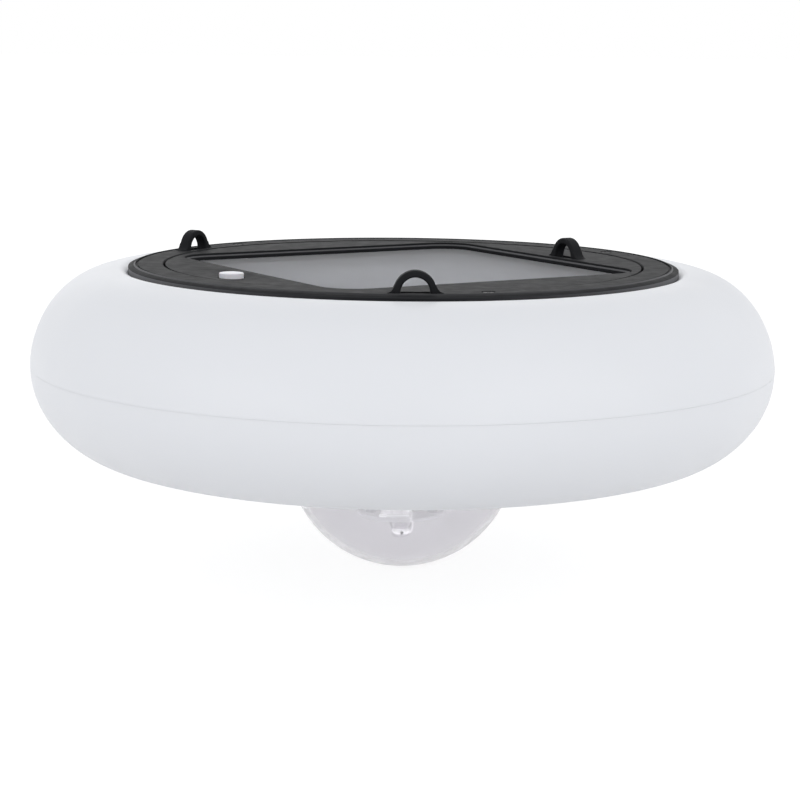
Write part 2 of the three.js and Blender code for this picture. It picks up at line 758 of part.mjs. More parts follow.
function pushButton() {
  const capTop = trayTop + buttonProud;
  const capRim = capTop - buttonCrown;
  const ringHeight = trayTop - buttonRingDrop;
  const ringMiddle = buttonRadius - buttonRing;
  const ringGroove = ringMiddle - buttonRing - gap;
  const cap = revolve([
    [0, stemEnd], [stemRadius, stemEnd], [stemRadius, capFlangeUnder],
    [flangeRadius, capFlangeUnder], [flangeRadius, capFlangeTop], [buttonRadius, capFlangeTop],
    [buttonRadius, ringHeight - buttonRing - gap], [ringGroove, ringHeight - buttonRing - gap],
    [ringGroove, ringHeight + buttonRing + gap], [buttonRadius, ringHeight + buttonRing + gap],
    [buttonRadius, capRim - buttonEdge], [buttonRadius - buttonEdge, capRim], [0, capTop],
  ], holeSides);

  const wire = new THREE.Shape().absarc(0, 0, springWire, 0, 2 * Math.PI);
  const coil = new THREE.ExtrudeGeometry(wire, {
    steps: springTurns * springStepsPerTurn,
    curveSegments: wireSides / 2,
    extrudePath: new Helix(
      springRadius, springTurns, switchBoardTop + gap + springWire, capFlangeUnder - gap - springWire),
  });

  const plungerLow = plungerTop - plungerLength;
  const wellEnd = plungerLow - buttonTravel - gap;
  const switchBody = cut(
    box(switchSide, switchSide, switchUnder, switchTop),
    rod(plungerRadius + gap, wellEnd, switchTop + overrun));

  const holderUnder = holderFloorTop - holderWall;
  const holder = revolve([
    [cableHole, holderUnder], [holderRadius, holderUnder], [holderRadius, holderTop],
    [holderBore, holderTop], [holderBore, holderFloorTop], [cableHole, holderFloorTop],
  ], holeSides);

  const group = new THREE.Group().add(
    piece("button_cap", cap, "buttonPlastic"),
    piece("button_o_ring", cordRing(ringMiddle, buttonRing, ringHeight, holeSides), "rubber"),
    piece("button_spring", coil, "steel"),
    piece("switch_plunger", rod(plungerRadius, plungerLow, plungerTop), "component"),
    piece("tact_switch", switchBody, "steel"),
    piece("switch_board", rod(switchBoardRadius, switchBoardUnder, switchBoardTop, holeSides), "boardGreen"),
    piece("switch_holder", holder, "greyPlastic"));
  group.position.set(buttonX, buttonY, 0);
  return group;
}

// Tub that hangs under the tray, plugs into the clamp ring and holds the battery and the board

function tub() {
  const ringMiddle = tubRadius - tubRingCord;
  const ringGroove = ringMiddle - tubRingCord - gap;
  const grooveHalf = tubRingCord + gap;
  const flangeUnder = tubTop - tubFlangeThickness;
  const wall = revolve([
    [0, tubBottom], [tubRadius, tubBottom],
    [tubRadius, tubRingHeight - grooveHalf], [ringGroove, tubRingHeight - grooveHalf],
    [ringGroove, tubRingHeight + grooveHalf], [tubRadius, tubRingHeight + grooveHalf],
    [tubRadius, flangeUnder], [tubFlangeRadius, flangeUnder], [tubFlangeRadius, tubTop],
    [tubBore, tubTop], [tubBore, tubFloorTop], [0, tubFloorTop],
  ], tubSides);
  const triangle = new THREE.Shape([
    new THREE.Vector2(-bite, -gussetHeight), new THREE.Vector2(gussetWidth, bite),
    new THREE.Vector2(-bite, bite),
  ]);
  const gusset = slab(triangle, -gussetThickness / 2, gussetThickness / 2)
    .rotateX(Math.PI / 2).translate(0, 0, flangeUnder);
  const post = join(
    rod(boardPostRadius, tubFloorTop - bite, boardHeight - gap),
    rod(stakeRadius, boardHeight - bite, boardTop + stakeHead));
  const bracketStake = rod(stakeRadius, bracketUnder - stakeHead, tubBottom + bite);
  const body = join(
    wall,
    ...around(evenAngles(tubScrewCount, 0), tubRadius, gusset),
    ...around(boardPostAngles, boardPostCircle, post),
    ...around(bracketStakeAngles, bracketStakeCircle, bracketStake));
  const screwBore = rod(screwHole, flangeUnder - overrun, tubTop + overrun);
  const grommetHole = rod(grommetRadius + gap, tubBore - grommetLength, tubFlangeRadius, holeSides)
    .rotateX(Math.PI / 2).translate(grommetX, 0, grommetHeight);
  const finished = cut(
    body,
    ...around(tubScrewAngles, tubScrewCircle, screwBore),
    rod(cableHole, tubBottom - overrun, tubFloorTop + overrun).translate(0, lampCableY, 0),
    grommetHole);
  return piece("works_tub", finished, "greyPlastic");
}

function tubFittings() {
  const gasket = cut(
    tube(tubFlangeRadius, tubBore, tubGasketTop - tubGasketHeight, tubGasketTop, tubSides),
    ...around(tubScrewAngles, tubScrewCircle, rod(screwHole, tubTop, tubGasketTop + overrun)));
  const flangeUnder = tubTop - tubFlangeThickness;
  const length = wellFloorTop - bossFloor - gap - flangeUnder;
  const screw = panScrew(0, length).rotateX(Math.PI).translate(0, 0, flangeUnder - gap);
  const flangeStart = tubRadius + gap;
  const flangeEnd = flangeStart + grommetFlangeThickness;
  const grommet = revolve([
    [cableHole, flangeEnd - grommetLength], [grommetRadius, flangeEnd - grommetLength],
    [grommetRadius, flangeStart], [grommetRadius + grommetFlange, flangeStart],
    [grommetRadius + grommetFlange, flangeEnd], [cableHole, flangeEnd],
  ], pinSides).rotateX(Math.PI / 2).translate(grommetX, 0, grommetHeight);
  return [
    piece("tub_gasket", gasket, "rubber"),
    piece("tub_o_ring", cordRing(tubRadius - tubRingCord, tubRingCord, tubRingHeight, tubSides), "rubber"),
    ...around(tubScrewAngles, tubScrewCircle, screw)
      .map((geometry, i) => piece(`tub_screw_${i + 1}`, geometry, "steel")),
    piece("cable_grommet", grommet, "rubber"),
  ];
}

// Battery pack

function batteryPack() {
  const low = tubFloorTop + gap;
  const cellPlaces = Array.from({ length: cellCount }, (_, i) => (i - (cellCount - 1) / 2) * batteryPitch);
  const trough = rod(batteryRadius + gap, -packBore / 2, packBore / 2, holeSides).rotateX(Math.PI / 2);
  const end = box(packWidth, endWall, low, packTop);
  const endOffset = (packBore + endWall) / 2;
  const holder = cut(
    join(
      box(packWidth, packLength, low, low + troughHeight),
      end.clone().translate(0, -endOffset, 0), end.clone().translate(0, endOffset, 0)),
    ...cellPlaces.map((x) => trough.clone().translate(x, 0, batteryMiddle)));
  const start = -(batteryLength + nubLength) / 2;
  const shoulder = start + batteryLength;
  const cell = revolve([
    [0, start], [batteryRadius - batteryRound, start], [batteryRadius, start + batteryRound],
    [batteryRadius, shoulder - batteryRound], [batteryRadius - batteryRound, shoulder],
    [nubRadius, shoulder], [nubRadius, shoulder + nubLength], [0, shoulder + nubLength],
  ], holeSides);
  const contactLow = low + troughHeight + gap;
  const contact = box(packWidth - 2 * contactInset, contactThickness, contactLow, contactLow + contactHeight);
  const contactOffset = packBore / 2 - gap - contactThickness / 2;
  return [
    piece("battery_holder", holder, "blackPlastic"),
    ...cellPlaces.map((x, i) => {
      const battery = piece(`battery_cell_${i + 1}`, cell.clone(), "cellWrap");
      battery.position.set(x, 0, batteryMiddle);
      battery.rotation.x = i % 2 === 0 ? Math.PI / 2 : -Math.PI / 2;
      return battery;
    }),
    piece("battery_contact_front", contact.clone().translate(0, -contactOffset, 0), "steel"),
    piece("battery_contact_rear", contact.clone().translate(0, contactOffset, 0), "steel"),
  ];
}

function boards() {
  const board = cut(
    rod(boardRadius, boardHeight, boardTop, tubSides),
    ...around(boardPostAngles, boardPostCircle,
      rod(stakeRadius + gap, boardHeight - overrun, boardTop + overrun)),
    rod(boardHoleRadius, boardHeight - overrun, boardTop + overrun).translate(0, boardHoleY, 0));
  const low = boardTop + gap;
  const capacitor = rod(capacitorRadius, low, low + capacitorHeight, holeSides);
  const chip = box(chipSide, chipSide, low, low + chipHeight);
  const inductor = box(inductorSide, inductorSide, low, low + inductorHeight);
  return [
    piece("main_board", board, "boardGreen"),
    piece("capacitor", capacitor.translate(capacitorX, capacitorY, 0), "steel"),
    piece("charge_chip", chip.translate(chipX, chipY, 0), "component"),
    piece("inductor", inductor.translate(inductorX, inductorY, 0), "component"),
  ];
}

// Dome, held down on its gasket by the clamp ring

function domeAndClamp() {
  const inside = domeRadius - domeWall;
  const dome = revolve([
    ...arc(domeRadius, domeMiddle, -90, 0, skinSteps),
    [domeRadius, domeFlangeUnder], [domeRadius + domeFlange, domeFlangeUnder],
    [domeRadius + domeFlange, domeFlangeTop], [inside, domeFlangeTop],
    ...arc(inside, domeMiddle, 0, -90, liningSteps),
  ], tubSides);
  const gasket = tube(
    domeRadius + domeFlange, portRadius + domeGasketInset,
    shellFloor + gap, shellFloor + gap + domeGasketHeight, tubSides);
  const socketWall = socketRadius + clampFlangeThickness;
  const clamp = cut(
    revolve([
      [socketRadius, clampUnder], [clampFlangeRadius, clampUnder], [clampFlangeRadius, clampTop],
      [socketWall, clampTop], [socketWall, clampTop + clampSocketHeight],
      [socketRadius, clampTop + clampSocketHeight],
    ], tubSides),
    ...around(evenAngles(clampScrewCount), clampScrewCircle,
      rod(screwHole, clampUnder - overrun, clampTop + overrun)));
  const length = clampTop + bottomDepth - bossFloor - 2 * gap;
  return [
    piece("dome", dome, "clearPlastic"),
    piece("dome_gasket", gasket, "silicone"),
    piece("dome_clamp_ring", clamp, "whitePlastic"),
    ...around(evenAngles(clampScrewCount), clampScrewCircle, panScrew(clampTop + gap, length))
      .map((geometry, i) => piece(`clamp_screw_${i + 1}`, geometry, "steel")),
  ];
}

// Lamp: a bracket under the tub carries a round board with the LED hanging from it

// A flat bar between two points in the XZ plane.
function bar(from, to, width, thickness) {
  const run = new THREE.Vector2(to[0] - from[0], to[1] - from[1]);
  return new THREE.BoxGeometry(run.length(), width, thickness)
    .rotateY(-run.angle())
    .translate((from[0] + to[0]) / 2, 0, (from[1] + to[1]) / 2);
}

function lamp() {
  const footTop = lampBoardTop + gap + legFoot;
  const foot = rod(legWidth / 2, lampBoardTop + gap, footTop);
  const stake = rod(stakeRadius, lampBoardUnder - stakeHead, footTop - bite);
  const leg = join(
    bar([legTopCircle, bracketUnder + bite], [legFootCircle, footTop - bite], legWidth, legThickness),
    foot.translate(legFootCircle, 0, 0), stake.translate(legFootCircle, 0, 0));
  const bracket = cut(
    join(
      tube(bracketRadius, bracketBore, bracketUnder, bracketTop, tubSides),
      ...around(legAngles, 0, leg)),
    ...around(bracketStakeAngles, bracketStakeCircle,
      rod(stakeRadius + gap, bracketUnder - overrun, bracketTop + overrun)),
    rod(cableHole, bracketUnder - overrun, bracketTop + overrun).translate(0, lampCableY, 0));

  const stakeHoles = around(legAngles.map((angle) => angle - lampTurn), legFootCircle,
    rod(stakeRadius + gap, lampBoardUnder - overrun, lampBoardTop + overrun));
  const board = cut(rod(lampBoardRadius, lampBoardUnder, lampBoardTop, tubSides), ...stakeHoles);
  const blockLow = lampBoardTop + gap;
  const block = box(blockWidth, blockDepth, blockLow, blockLow + blockHeight).translate(blockX, blockY, 0);
  const postTop = lampBoardUnder - gap;
  const ledTop = postTop - postHeight - gap;
  const rim = ledTop - ledBase;
  const base = revolve([
    [0, rim], [ledRadius, rim], [ledRadius, ledTop - ledBase / 2], [postRadius, ledTop], [0, ledTop],
  ], holeSides);
  const lensTop = rim - gap;
  const lens = revolve([
    ...along(new THREE.EllipseCurve(0, lensTop, ledRadius, ledLens, -Math.PI / 2, 0), cornerSteps),
    [0, lensTop],
  ], holeSides);
  const leadRoute = [[ledLeadX, 0, postTop], [ledLeadX, 0, postTop - postHeight / 2],
    [postRadius + ledLeadRadius + gap, 0, ledTop + gap]];
  const lead = wire(leadRoute, ledLeadRadius);

  const turned = new THREE.Group().add(
    piece("lamp_board", board, "boardWhite"),
    piece("terminal_block", block, "whitePlastic"),
    piece("led_post", rod(postRadius, postTop - postHeight, postTop, holeSides), "clearPlastic"),
    piece("led_base", base, "steel"),
    piece("led_lens", lens, "clearPlastic"),
    piece("led_lead_1", lead, "steel"),
    piece("led_lead_2", lead.clone().rotateZ(Math.PI), "steel"));
  turned.rotation.z = radians(lampTurn);
  return [piece("lamp_bracket", bracket, "whitePlastic"), turned];
}

// Cables, each with its whole route

function cables() {
  const boardEnd = boardTop + gap;
  const backplateUnder = backplateTop - backplateThickness;
  const solar = [
    [0, solarCableY, backplateUnder - gap],
    [0, solarCableY, wellFloorUnder],
    [0, solarCableY, tubTop - cableStraight],
    [cableSlack, solarCableY - cableSlack, tubTop - 2 * cableBend],
    [0, solarCableY, boardEnd + cableStraight],
    [0, solarCableY, boardEnd],
  ];
  const grommetInside = tubBore - grommetLength;
  const fromSwitch = [
    [buttonX, buttonY, switchBoardUnder - gap],
    [buttonX, buttonY, holderFloorTop - cableStraight],
    [buttonX, buttonY, holderFloorTop - 2 * cableStraight],
    [grommetX, -tubFlangeRadius - cableBend, grommetHeight],
    [grommetX, -tubFlangeRadius, grommetHeight],
    [grommetX, -grommetInside, grommetHeight],
    [grommetX, -grommetInside + cableStraight, grommetHeight],
    [grommetX, switchCableY, boardEnd + cableBend],
    [grommetX, switchCableY, boardEnd],
  ];
  const packEnd = -packLength / 2 - gap;
  const pack = [
    [0, packEnd, batteryMiddle],
    [0, packEnd - cableStraight, batteryMiddle],
    [0, boardHoleY, batteryMiddle + cableBend],
    [0, boardHoleY, boardHeight - cableStraight],
    [0, boardHoleY, boardTop + cableStraight],
    [0, (boardHoleY + packCableY) / 2, boardEnd + cableBend],
    [0, packCableY, boardEnd + cableStraight],
    [0, packCableY, boardEnd],
  ];
  const lampEnd = lampBoardTop + gap;
  const toLamp = [
    [0, lampCableY, boardHeight - gap],
    [0, lampCableY, tubFloorTop + cableStraight],
    [0, lampCableY, bracketUnder],
    [0, lampCableY, bracketUnder - cableStraight],
    [0, (lampCableY + lampCableEnd) / 2, (bracketUnder + lampEnd) / 2 - cableSlack],
    [0, lampCableEnd, lampEnd + cableStraight],
    [0, lampCableEnd, lampEnd],
  ];
  return [
    piece("solar_cable", wire(solar, cableRadius), "cableJacket"),
    piece("switch_cable", wire(fromSwitch, cableRadius), "cableJacket"),
    piece("battery_cable", wire(pack, cableRadius), "cableJacket"),
    piece("lamp_cable", wire(toLamp, cableRadius), "cableJacket"),
  ];
}

export default new THREE.Group().add(
  upperShell(), lowerShell(), bezelRing(), bezelGasket(), ...bezelScrews(),
  panelTray(), ...solarPanel(), ...tetherEyes(), pushButton(),
  tub(), ...tubFittings(), ...batteryPack(), ...boards(),
  ...domeAndClamp(), ...lamp(), ...cables());
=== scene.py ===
"""Looks of a floating pool light: a white float, a black top with a solar panel, a push button and
tether eyes, and a clear dome with its lamp. Shapes are written in millimetres and placed in metres.
"""

import json
import math

import bmesh
import bpy
from mathutils import Matrix, Vector


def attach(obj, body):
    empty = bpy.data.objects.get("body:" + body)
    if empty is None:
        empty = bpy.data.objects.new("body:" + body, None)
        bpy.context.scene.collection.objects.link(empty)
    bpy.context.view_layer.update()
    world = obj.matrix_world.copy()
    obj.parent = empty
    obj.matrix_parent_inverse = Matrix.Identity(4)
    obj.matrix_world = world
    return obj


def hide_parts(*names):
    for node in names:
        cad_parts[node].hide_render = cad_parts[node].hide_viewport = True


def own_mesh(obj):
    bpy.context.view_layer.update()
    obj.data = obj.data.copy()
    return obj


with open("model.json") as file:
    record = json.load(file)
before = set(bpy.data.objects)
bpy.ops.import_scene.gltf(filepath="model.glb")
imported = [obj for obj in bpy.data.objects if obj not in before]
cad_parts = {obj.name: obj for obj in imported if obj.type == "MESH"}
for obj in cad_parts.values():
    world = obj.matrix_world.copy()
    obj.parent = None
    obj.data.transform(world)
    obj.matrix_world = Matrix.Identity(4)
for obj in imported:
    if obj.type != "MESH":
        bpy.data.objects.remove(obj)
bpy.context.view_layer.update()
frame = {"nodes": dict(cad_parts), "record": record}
nodes = frame["nodes"]
slot_of = {part["node"]: part["material_slot"] for part in frame["record"]["subparts"]}

MM = 0.001
FINE, ROUND, SMALL = 256, 96, 40  # sides of the widest rings, of middling and of small ones

# The photo's camera: turn and height in degrees, roll, distance in metres, lens and shift
PHOTO_AZIMUTH, PHOTO_ELEVATION, PHOTO_ROLL = 58.6, 8.65, 0.57
PHOTO_DISTANCE, PHOTO_LENS, SENSOR = 0.98, 92.37, 36.0
PHOTO_SHIFT = (-0.0031, -0.0512)
FRONT = math.radians(PHOTO_AZIMUTH - 90)  # the side that faces the camera

# Sizes of the solids that the pieces follow, in millimetres
CLEAR = 0.3  # between faces that touch in the real light
FLOAT_R, CREST_R, CREST_Z, BOTTOM_R, BOTTOM_Z = 175.02, 134.02, 44.2, 141.52, -41.2
BEZEL_R, BEZEL_BORE, BEZEL_TOP, BEZEL_UNDER, RIM_UNDER = 129.42, 112.92, 46.2, 43.2, 41.1
# The last height here is the top of the bezel's outer face; below it the sides carry a painted reflection.
BEZEL_LIP, GROOVE_R, GROOVE_W, GROOVE_D, OUTER_FACE_TOP = 0.25, 125.9, 1.0, 0.6, 44.9
FOOT_R, LEDGE_R, LEDGE_TOP, FOOT_Z = 115.12, 109.42, 42.3, 39.9
SEAT_R, SEAT_Z, THROAT_R, LANDING_Z, LIP_R, LIP_Z = 128.22, 39.6, 111.52, 40.8, 129.75, 42.4
SEAM, SEAM_EASE = 0.006, 0.03  # half the hairline between the float's halves, and its rounded edge
WALL, LAP, SKIN_STEPS, LINING_STEPS = 3, 4, 56, 20
INSIDE_R, LAP_R = FLOAT_R - WALL, FLOAT_R - WALL + 1.35  # the halves overlap between these
# How far up or down the float's curves leave its widest line, and how far out they meet its flats
UPPER_RISE, UPPER_REACH, LOWER_FALL, LOWER_REACH = 16.3, 29.1, 25.4, 10.9
LINING_RISE, LINING_REACH, LINING_FALL, LINING_LOW_REACH = 14.8, 27.6, 23.9, 9.4
BEZEL_SCREW_ANGLES = (90, -14, 194)
SCREW_LENGTH, SCREW_HEAD_R, SCREW_R, THREAD_R, THREAD_PITCH, THREAD_TURNS = 17, 2.6, 1.3, 1.02, 0.6, 24
CROSS_LENGTH, CROSS_WIDTH, CROSS_DEPTH = 3.0, 0.62, 0.9
TRAY_R, TRAY_TOP, TRAY_UNDER = 112.12, 46.0, 42.6
WELL_SIDE, WELL_CORNER, WELL_UNDER, WELL_TOP = 164.4, 17.2, 32.8, 36.0
RECESS_SIDE, RECESS_CORNER, STEP_W, STEP_D = 160.0, 15.0, 1.5, 1.0
GLASS_TOP, GLASS_UNDER, CELLS_LOW, CELLS_TOP, CELL_MARGIN, CELL_STRIPS = 42.9, 39.0, 37.8, 38.4, 4.5, 6
EYE_RING, EYE_W, EYE_H, LOOP_W, LOOP_H, EYE_D = 119.57, 9.2, 9.4, 6.25, 6.6, 5.5
EYE_FLANGE_W, EYE_FLANGE_D, EYE_FLANGE_H, SKIRT_W, SKIRT_H = 24, 5.9, 3.0, 2.7, 3.4
FRONT_EYE_ANGLE, LEFT_EYE_ANGLE, REAR_EYE = -29, 210, (10.6, 87.7)
BUTTON = (12.6, -97.2)
BUTTON_R, BUTTON_TOP, BUTTON_STOP, BUTTON_UNDER, PRESS = 5.5, 47.7, 41.8, 39.9, 1.5
STEM_R, STEM_UNDER, BUTTON_FLANGE_R, RING_SEAT_R, RING_LOW, RING_HIGH = 2, 36.3, 6.4, 4.1, 43.15, 44.85
COIL_R, COIL_WIRE, COIL_TURNS, COIL_LOW, COIL_TOP = 5.7, 0.4, 5, 30.1, 39.6
SLEEVE_R, SLEEVE_UNDER, GUIDE_R, BUTTON_HOLE_R, HOLE_FLARE = 7.8, 36.6, 6.7, 5.8, 0.3
CABLE_HOLE_R, CABLE_HOLE_Y = 1.3, 30
DISH_LENGTH, DISH_WIDTH, DISH_DEPTH, DISH_RISE = 33.0, 12.5, 0.9, 4.0
DOME_R, DOME_WALL, DOME_MIDDLE, PORT_R = 55.0, 2.2, -44.8, 55.4
DOME_FLANGE_R, DOME_FLANGE_LOW, DOME_FLANGE_TOP = 60.8, -36.4, -34.0
LAMP_TURN = math.radians(PHOTO_AZIMUTH)
LAMP_TOP, LAMP_UNDER, LAMP_R = -73.0, -74.8, 21.0
LAMP_HOLE_ANGLES, LAMP_HOLE_RING, LAMP_HOLE_R = (30, 150, 270), 17, 1.1
BLOCK_LENGTH, BLOCK_DEPTH, BLOCK_TOP, MOUTH_PITCH = 15.3, 6, LAMP_TOP + 4.5, 4.7  # the wire block's
POST_R, CUP_R, CUP_TOP = 3.2, 4.55, LAMP_UNDER - 8.2
FLOOR_Z, FLOOR_REACH = -100.2, 40000

HORIZON_LIGHT, ZENITH_LIGHT = 0.98, 0.79  # strength of the sky's light
# What stands in the dome glows a little, for the light that a rendered dome keeps out
FAINT_GLOW, BOARD_GLOW, BLOCK_GLOW, METAL_GLOW = 0.08, 0.26, 0.33, 0.45


# Mesh tools


def new_object(name, vertices, faces):
    """A mesh object from points in millimetres, with doubles merged and faces turned outward."""
    mesh = bpy.data.meshes.new(name)
    mesh.from_pydata([Vector(v) * MM for v in vertices], [], faces)
    work = bmesh.new()
    work.from_mesh(mesh)
    bmesh.ops.remove_doubles(work, verts=work.verts, dist=1e-7)
    bmesh.ops.recalc_face_normals(work, faces=work.faces)
    work.to_mesh(mesh)
    work.free()
    obj = bpy.data.objects.new(name, mesh)
    bpy.context.scene.collection.objects.link(obj)
    return obj


def curve(p0, p1, p2, p3, steps):
    """Points of a cubic curve from p0 to p3."""
    points = []
    for i in range(steps + 1):
        t = i / steps
        a, b, c, d = (1 - t) ** 3, 3 * t * (1 - t) ** 2, 3 * t * t * (1 - t), t**3
        points.append(tuple(a * w + b * x + c * y + d * z for w, x, y, z in zip(p0, p1, p2, p3)))
    return points


def eased(corners, steps=5):
    """A closed profile whose corners (r, z, fillet) are rounded; a corner without a fillet stays sharp."""
    points = []
    count = len(corners)
    for i, corner in enumerate(corners):
        here = Vector(corner[:2])
        fillet = corner[2] if len(corner) > 2 else 0
        if not fillet:
            points.append(tuple(here))
            continue
        before, after = Vector(corners[i - 1][:2]), Vector(corners[(i + 1) % count][:2])
        to_before, to_after = before - here, after - here
        half = to_before.angle(to_after) / 2
        reach = min(fillet / math.tan(half), 0.49 * to_before.length, 0.49 * to_after.length)
        start, end = here + to_before.normalized() * reach, here + to_after.normalized() * reach
        for k in range(steps + 1):
            t = k / steps
            points.append(tuple((1 - t) ** 2 * start + 2 * t * (1 - t) * here + t * t * end))
    return points


def lathe(name, profile, sides=FINE):
    """A closed profile of (radius, height) turned round Z."""
    vertices, faces, rings = [], [], []
    for r, z in profile:
        ring = []
        for k in range(sides if r > 1e-6 else 1):
            angle = 2 * math.pi * k / sides
            vertices.append((r * math.cos(angle), r * math.sin(angle), z))
            ring.append(len(vertices) - 1)
        rings.append(ring)
    for i, ring in enumerate(rings):
        after = rings[(i + 1) % len(rings)]
        if len(ring) == 1 and len(after) == 1:
            continue
        for k in range(sides):
            n = (k + 1) % sides
            if len(ring) == 1:
                faces.append((ring[0], after[n], after[k]))
            elif len(after) == 1:
                faces.append((ring[k], ring[n], after[0]))
            else:
                faces.append((ring[k], ring[n], after[n], after[k]))
    return new_object(name, vertices, faces)


def rounded_ring(width, depth, corner, height, steps=4):
    """Points of a rectangle with rounded corners, at a height."""
    points = []
    for quarter, (sx, sy) in enumerate(((1, 1), (-1, 1), (-1, -1), (1, -1))):
        for k in range(steps + 1):
            angle = (quarter + k / steps) * math.pi / 2
            points.append((sx * (width / 2 - corner) + corner * math.cos(angle),
                           sy * (depth / 2 - corner) + corner * math.sin(angle), height))
    return points


def square_ring(side, corner, height, steps=12):
    return rounded_ring(side, side, corner, height, steps)


def loft(name, rings):
    """A solid through rings with the same number of points, with flat ends."""
    count = len(rings[0])
    vertices = [point for ring in rings for point in ring]
    faces = [tuple(range(count)), tuple(range(len(vertices) - count, len(vertices)))]
    for i in range(len(rings) - 1):
        for k in range(count):
            n = (k + 1) % count
            faces.append((i * count + k, i * count + n, (i + 1) * count + n, (i + 1) * count + k))
    return new_object(name, vertices, faces)


def eased_block(name, ring_of, low, high, bevel, steps=3):
    """A solid whose outline is ring_of(inset, height), with rounded top and bottom edges."""
    rings = []
    for end, sign in ((low, 1), (high, -1)):
        part = []
        for k in range(steps + 1):
            angle = k * math.pi / 2 / steps
            inset, rise = bevel * (1 - math.sin(angle)), bevel * (1 - math.cos(angle))
            part.append(ring_of(inset, end + sign * rise))
        rings += part if sign > 0 else part[::-1]
    return loft(name, rings)


def block(name, width, depth, low, high, corner, bevel):
    """A block centred on Z, with rounded corners and edges."""
    def ring_of(inset, height):
        return rounded_ring(width - 2 * inset, depth - 2 * inset, max(corner - inset, 0.02), height)

    return eased_block(name, ring_of, low, high, bevel)


def rod(name, radius, low, high):
    """A plain round cutter or filler on Z."""
    return lathe(name, [(0, low), (radius, low), (radius, high), (0, high)], SMALL)


def tube(name, path, radius, steps=8, sides=12):
    """A round wire on a smooth curve through the points of a path."""
    points = [Vector(p) for p in path]
    ends = [2 * points[0] - points[1]] + points + [2 * points[-1] - points[-2]]
    line = []
    for i in range(len(points) - 1):
        a, b, c, d = ends[i:i + 4]
        for k in range(steps):
            t = k / steps
            line.append(0.5 * (2 * b + (c - a) * t + (2 * a - 5 * b + 4 * c - d) * t * t
                               + (3 * b - a - 3 * c + d) * t**3))
    line.append(points[-1])
    rings, side = [], Vector((1, 0, 0))
    for i, point in enumerate(line):
        along = (line[min(i + 1, len(line) - 1)] - line[max(i - 1, 0)]).normalized()
        side = (side - along * side.dot(along)).normalized()
        other = along.cross(side)
        rings.append([point + radius * (side * math.cos(a) + other * math.sin(a))
                      for a in [2 * math.pi * k / sides for k in range(sides)]])
    return loft(name, rings)


def placed(obj, x=0, y=0, z=0, turn=0):
    """Moves an object's own points, in millimetres, after a turn round Z."""
    obj.data.transform(Matrix.Translation(Vector((x, y, z)) * MM) @ Matrix.Rotation(turn, 4, "Z"))
    return obj


def baked(obj):
    """Turns an object's modifiers into its own mesh."""
    graph = bpy.context.evaluated_depsgraph_get()
    mesh = bpy.data.meshes.new_from_object(obj.evaluated_get(graph))
    obj.modifiers.clear()
    obj.data = mesh
    return obj


def carved(obj, tools, operation="DIFFERENCE"):
    """Cuts the tools out of an object, or joins them to it, and removes them."""
    for tool in tools:
        modifier = obj.modifiers.new(operation, "BOOLEAN")
        modifier.object, modifier.operation, modifier.solver = tool, operation, "EXACT"
    baked(obj)
    for tool in tools:
        bpy.data.objects.remove(tool)
    return obj


def smoothed(obj, angle):
    """Shades an object smooth, but for edges sharper than an angle in degrees."""
    mesh = obj.data
    mesh.shade_smooth()
    mesh.set_sharp_from_angle(angle=math.radians(angle))
    weighted = obj.modifiers.new("weighted", "WEIGHTED_NORMAL")
    weighted.keep_sharp = True
    return obj


def lightened_faces(obj, share_of):
    """Marks each face with share_of(centre, normal), 0 to 1, for the black finish to lighten."""
    marks = obj.data.attributes.new("worn", "FLOAT", "FACE")
    for face in obj.data.polygons:
        marks.data[face.index].value = share_of(face.center / MM, face.normal)


def dressed(obj, material, replaces=(), body="light", angle=38):
    """Finishes a piece: smooth shading, material, body and the nodes it stands for."""
    smoothed(obj, angle)
    obj.data.materials.clear()
    obj.data.materials.append(material)
    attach(obj, body)
    if replaces:
        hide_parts(*replaces)
    return obj


# Materials


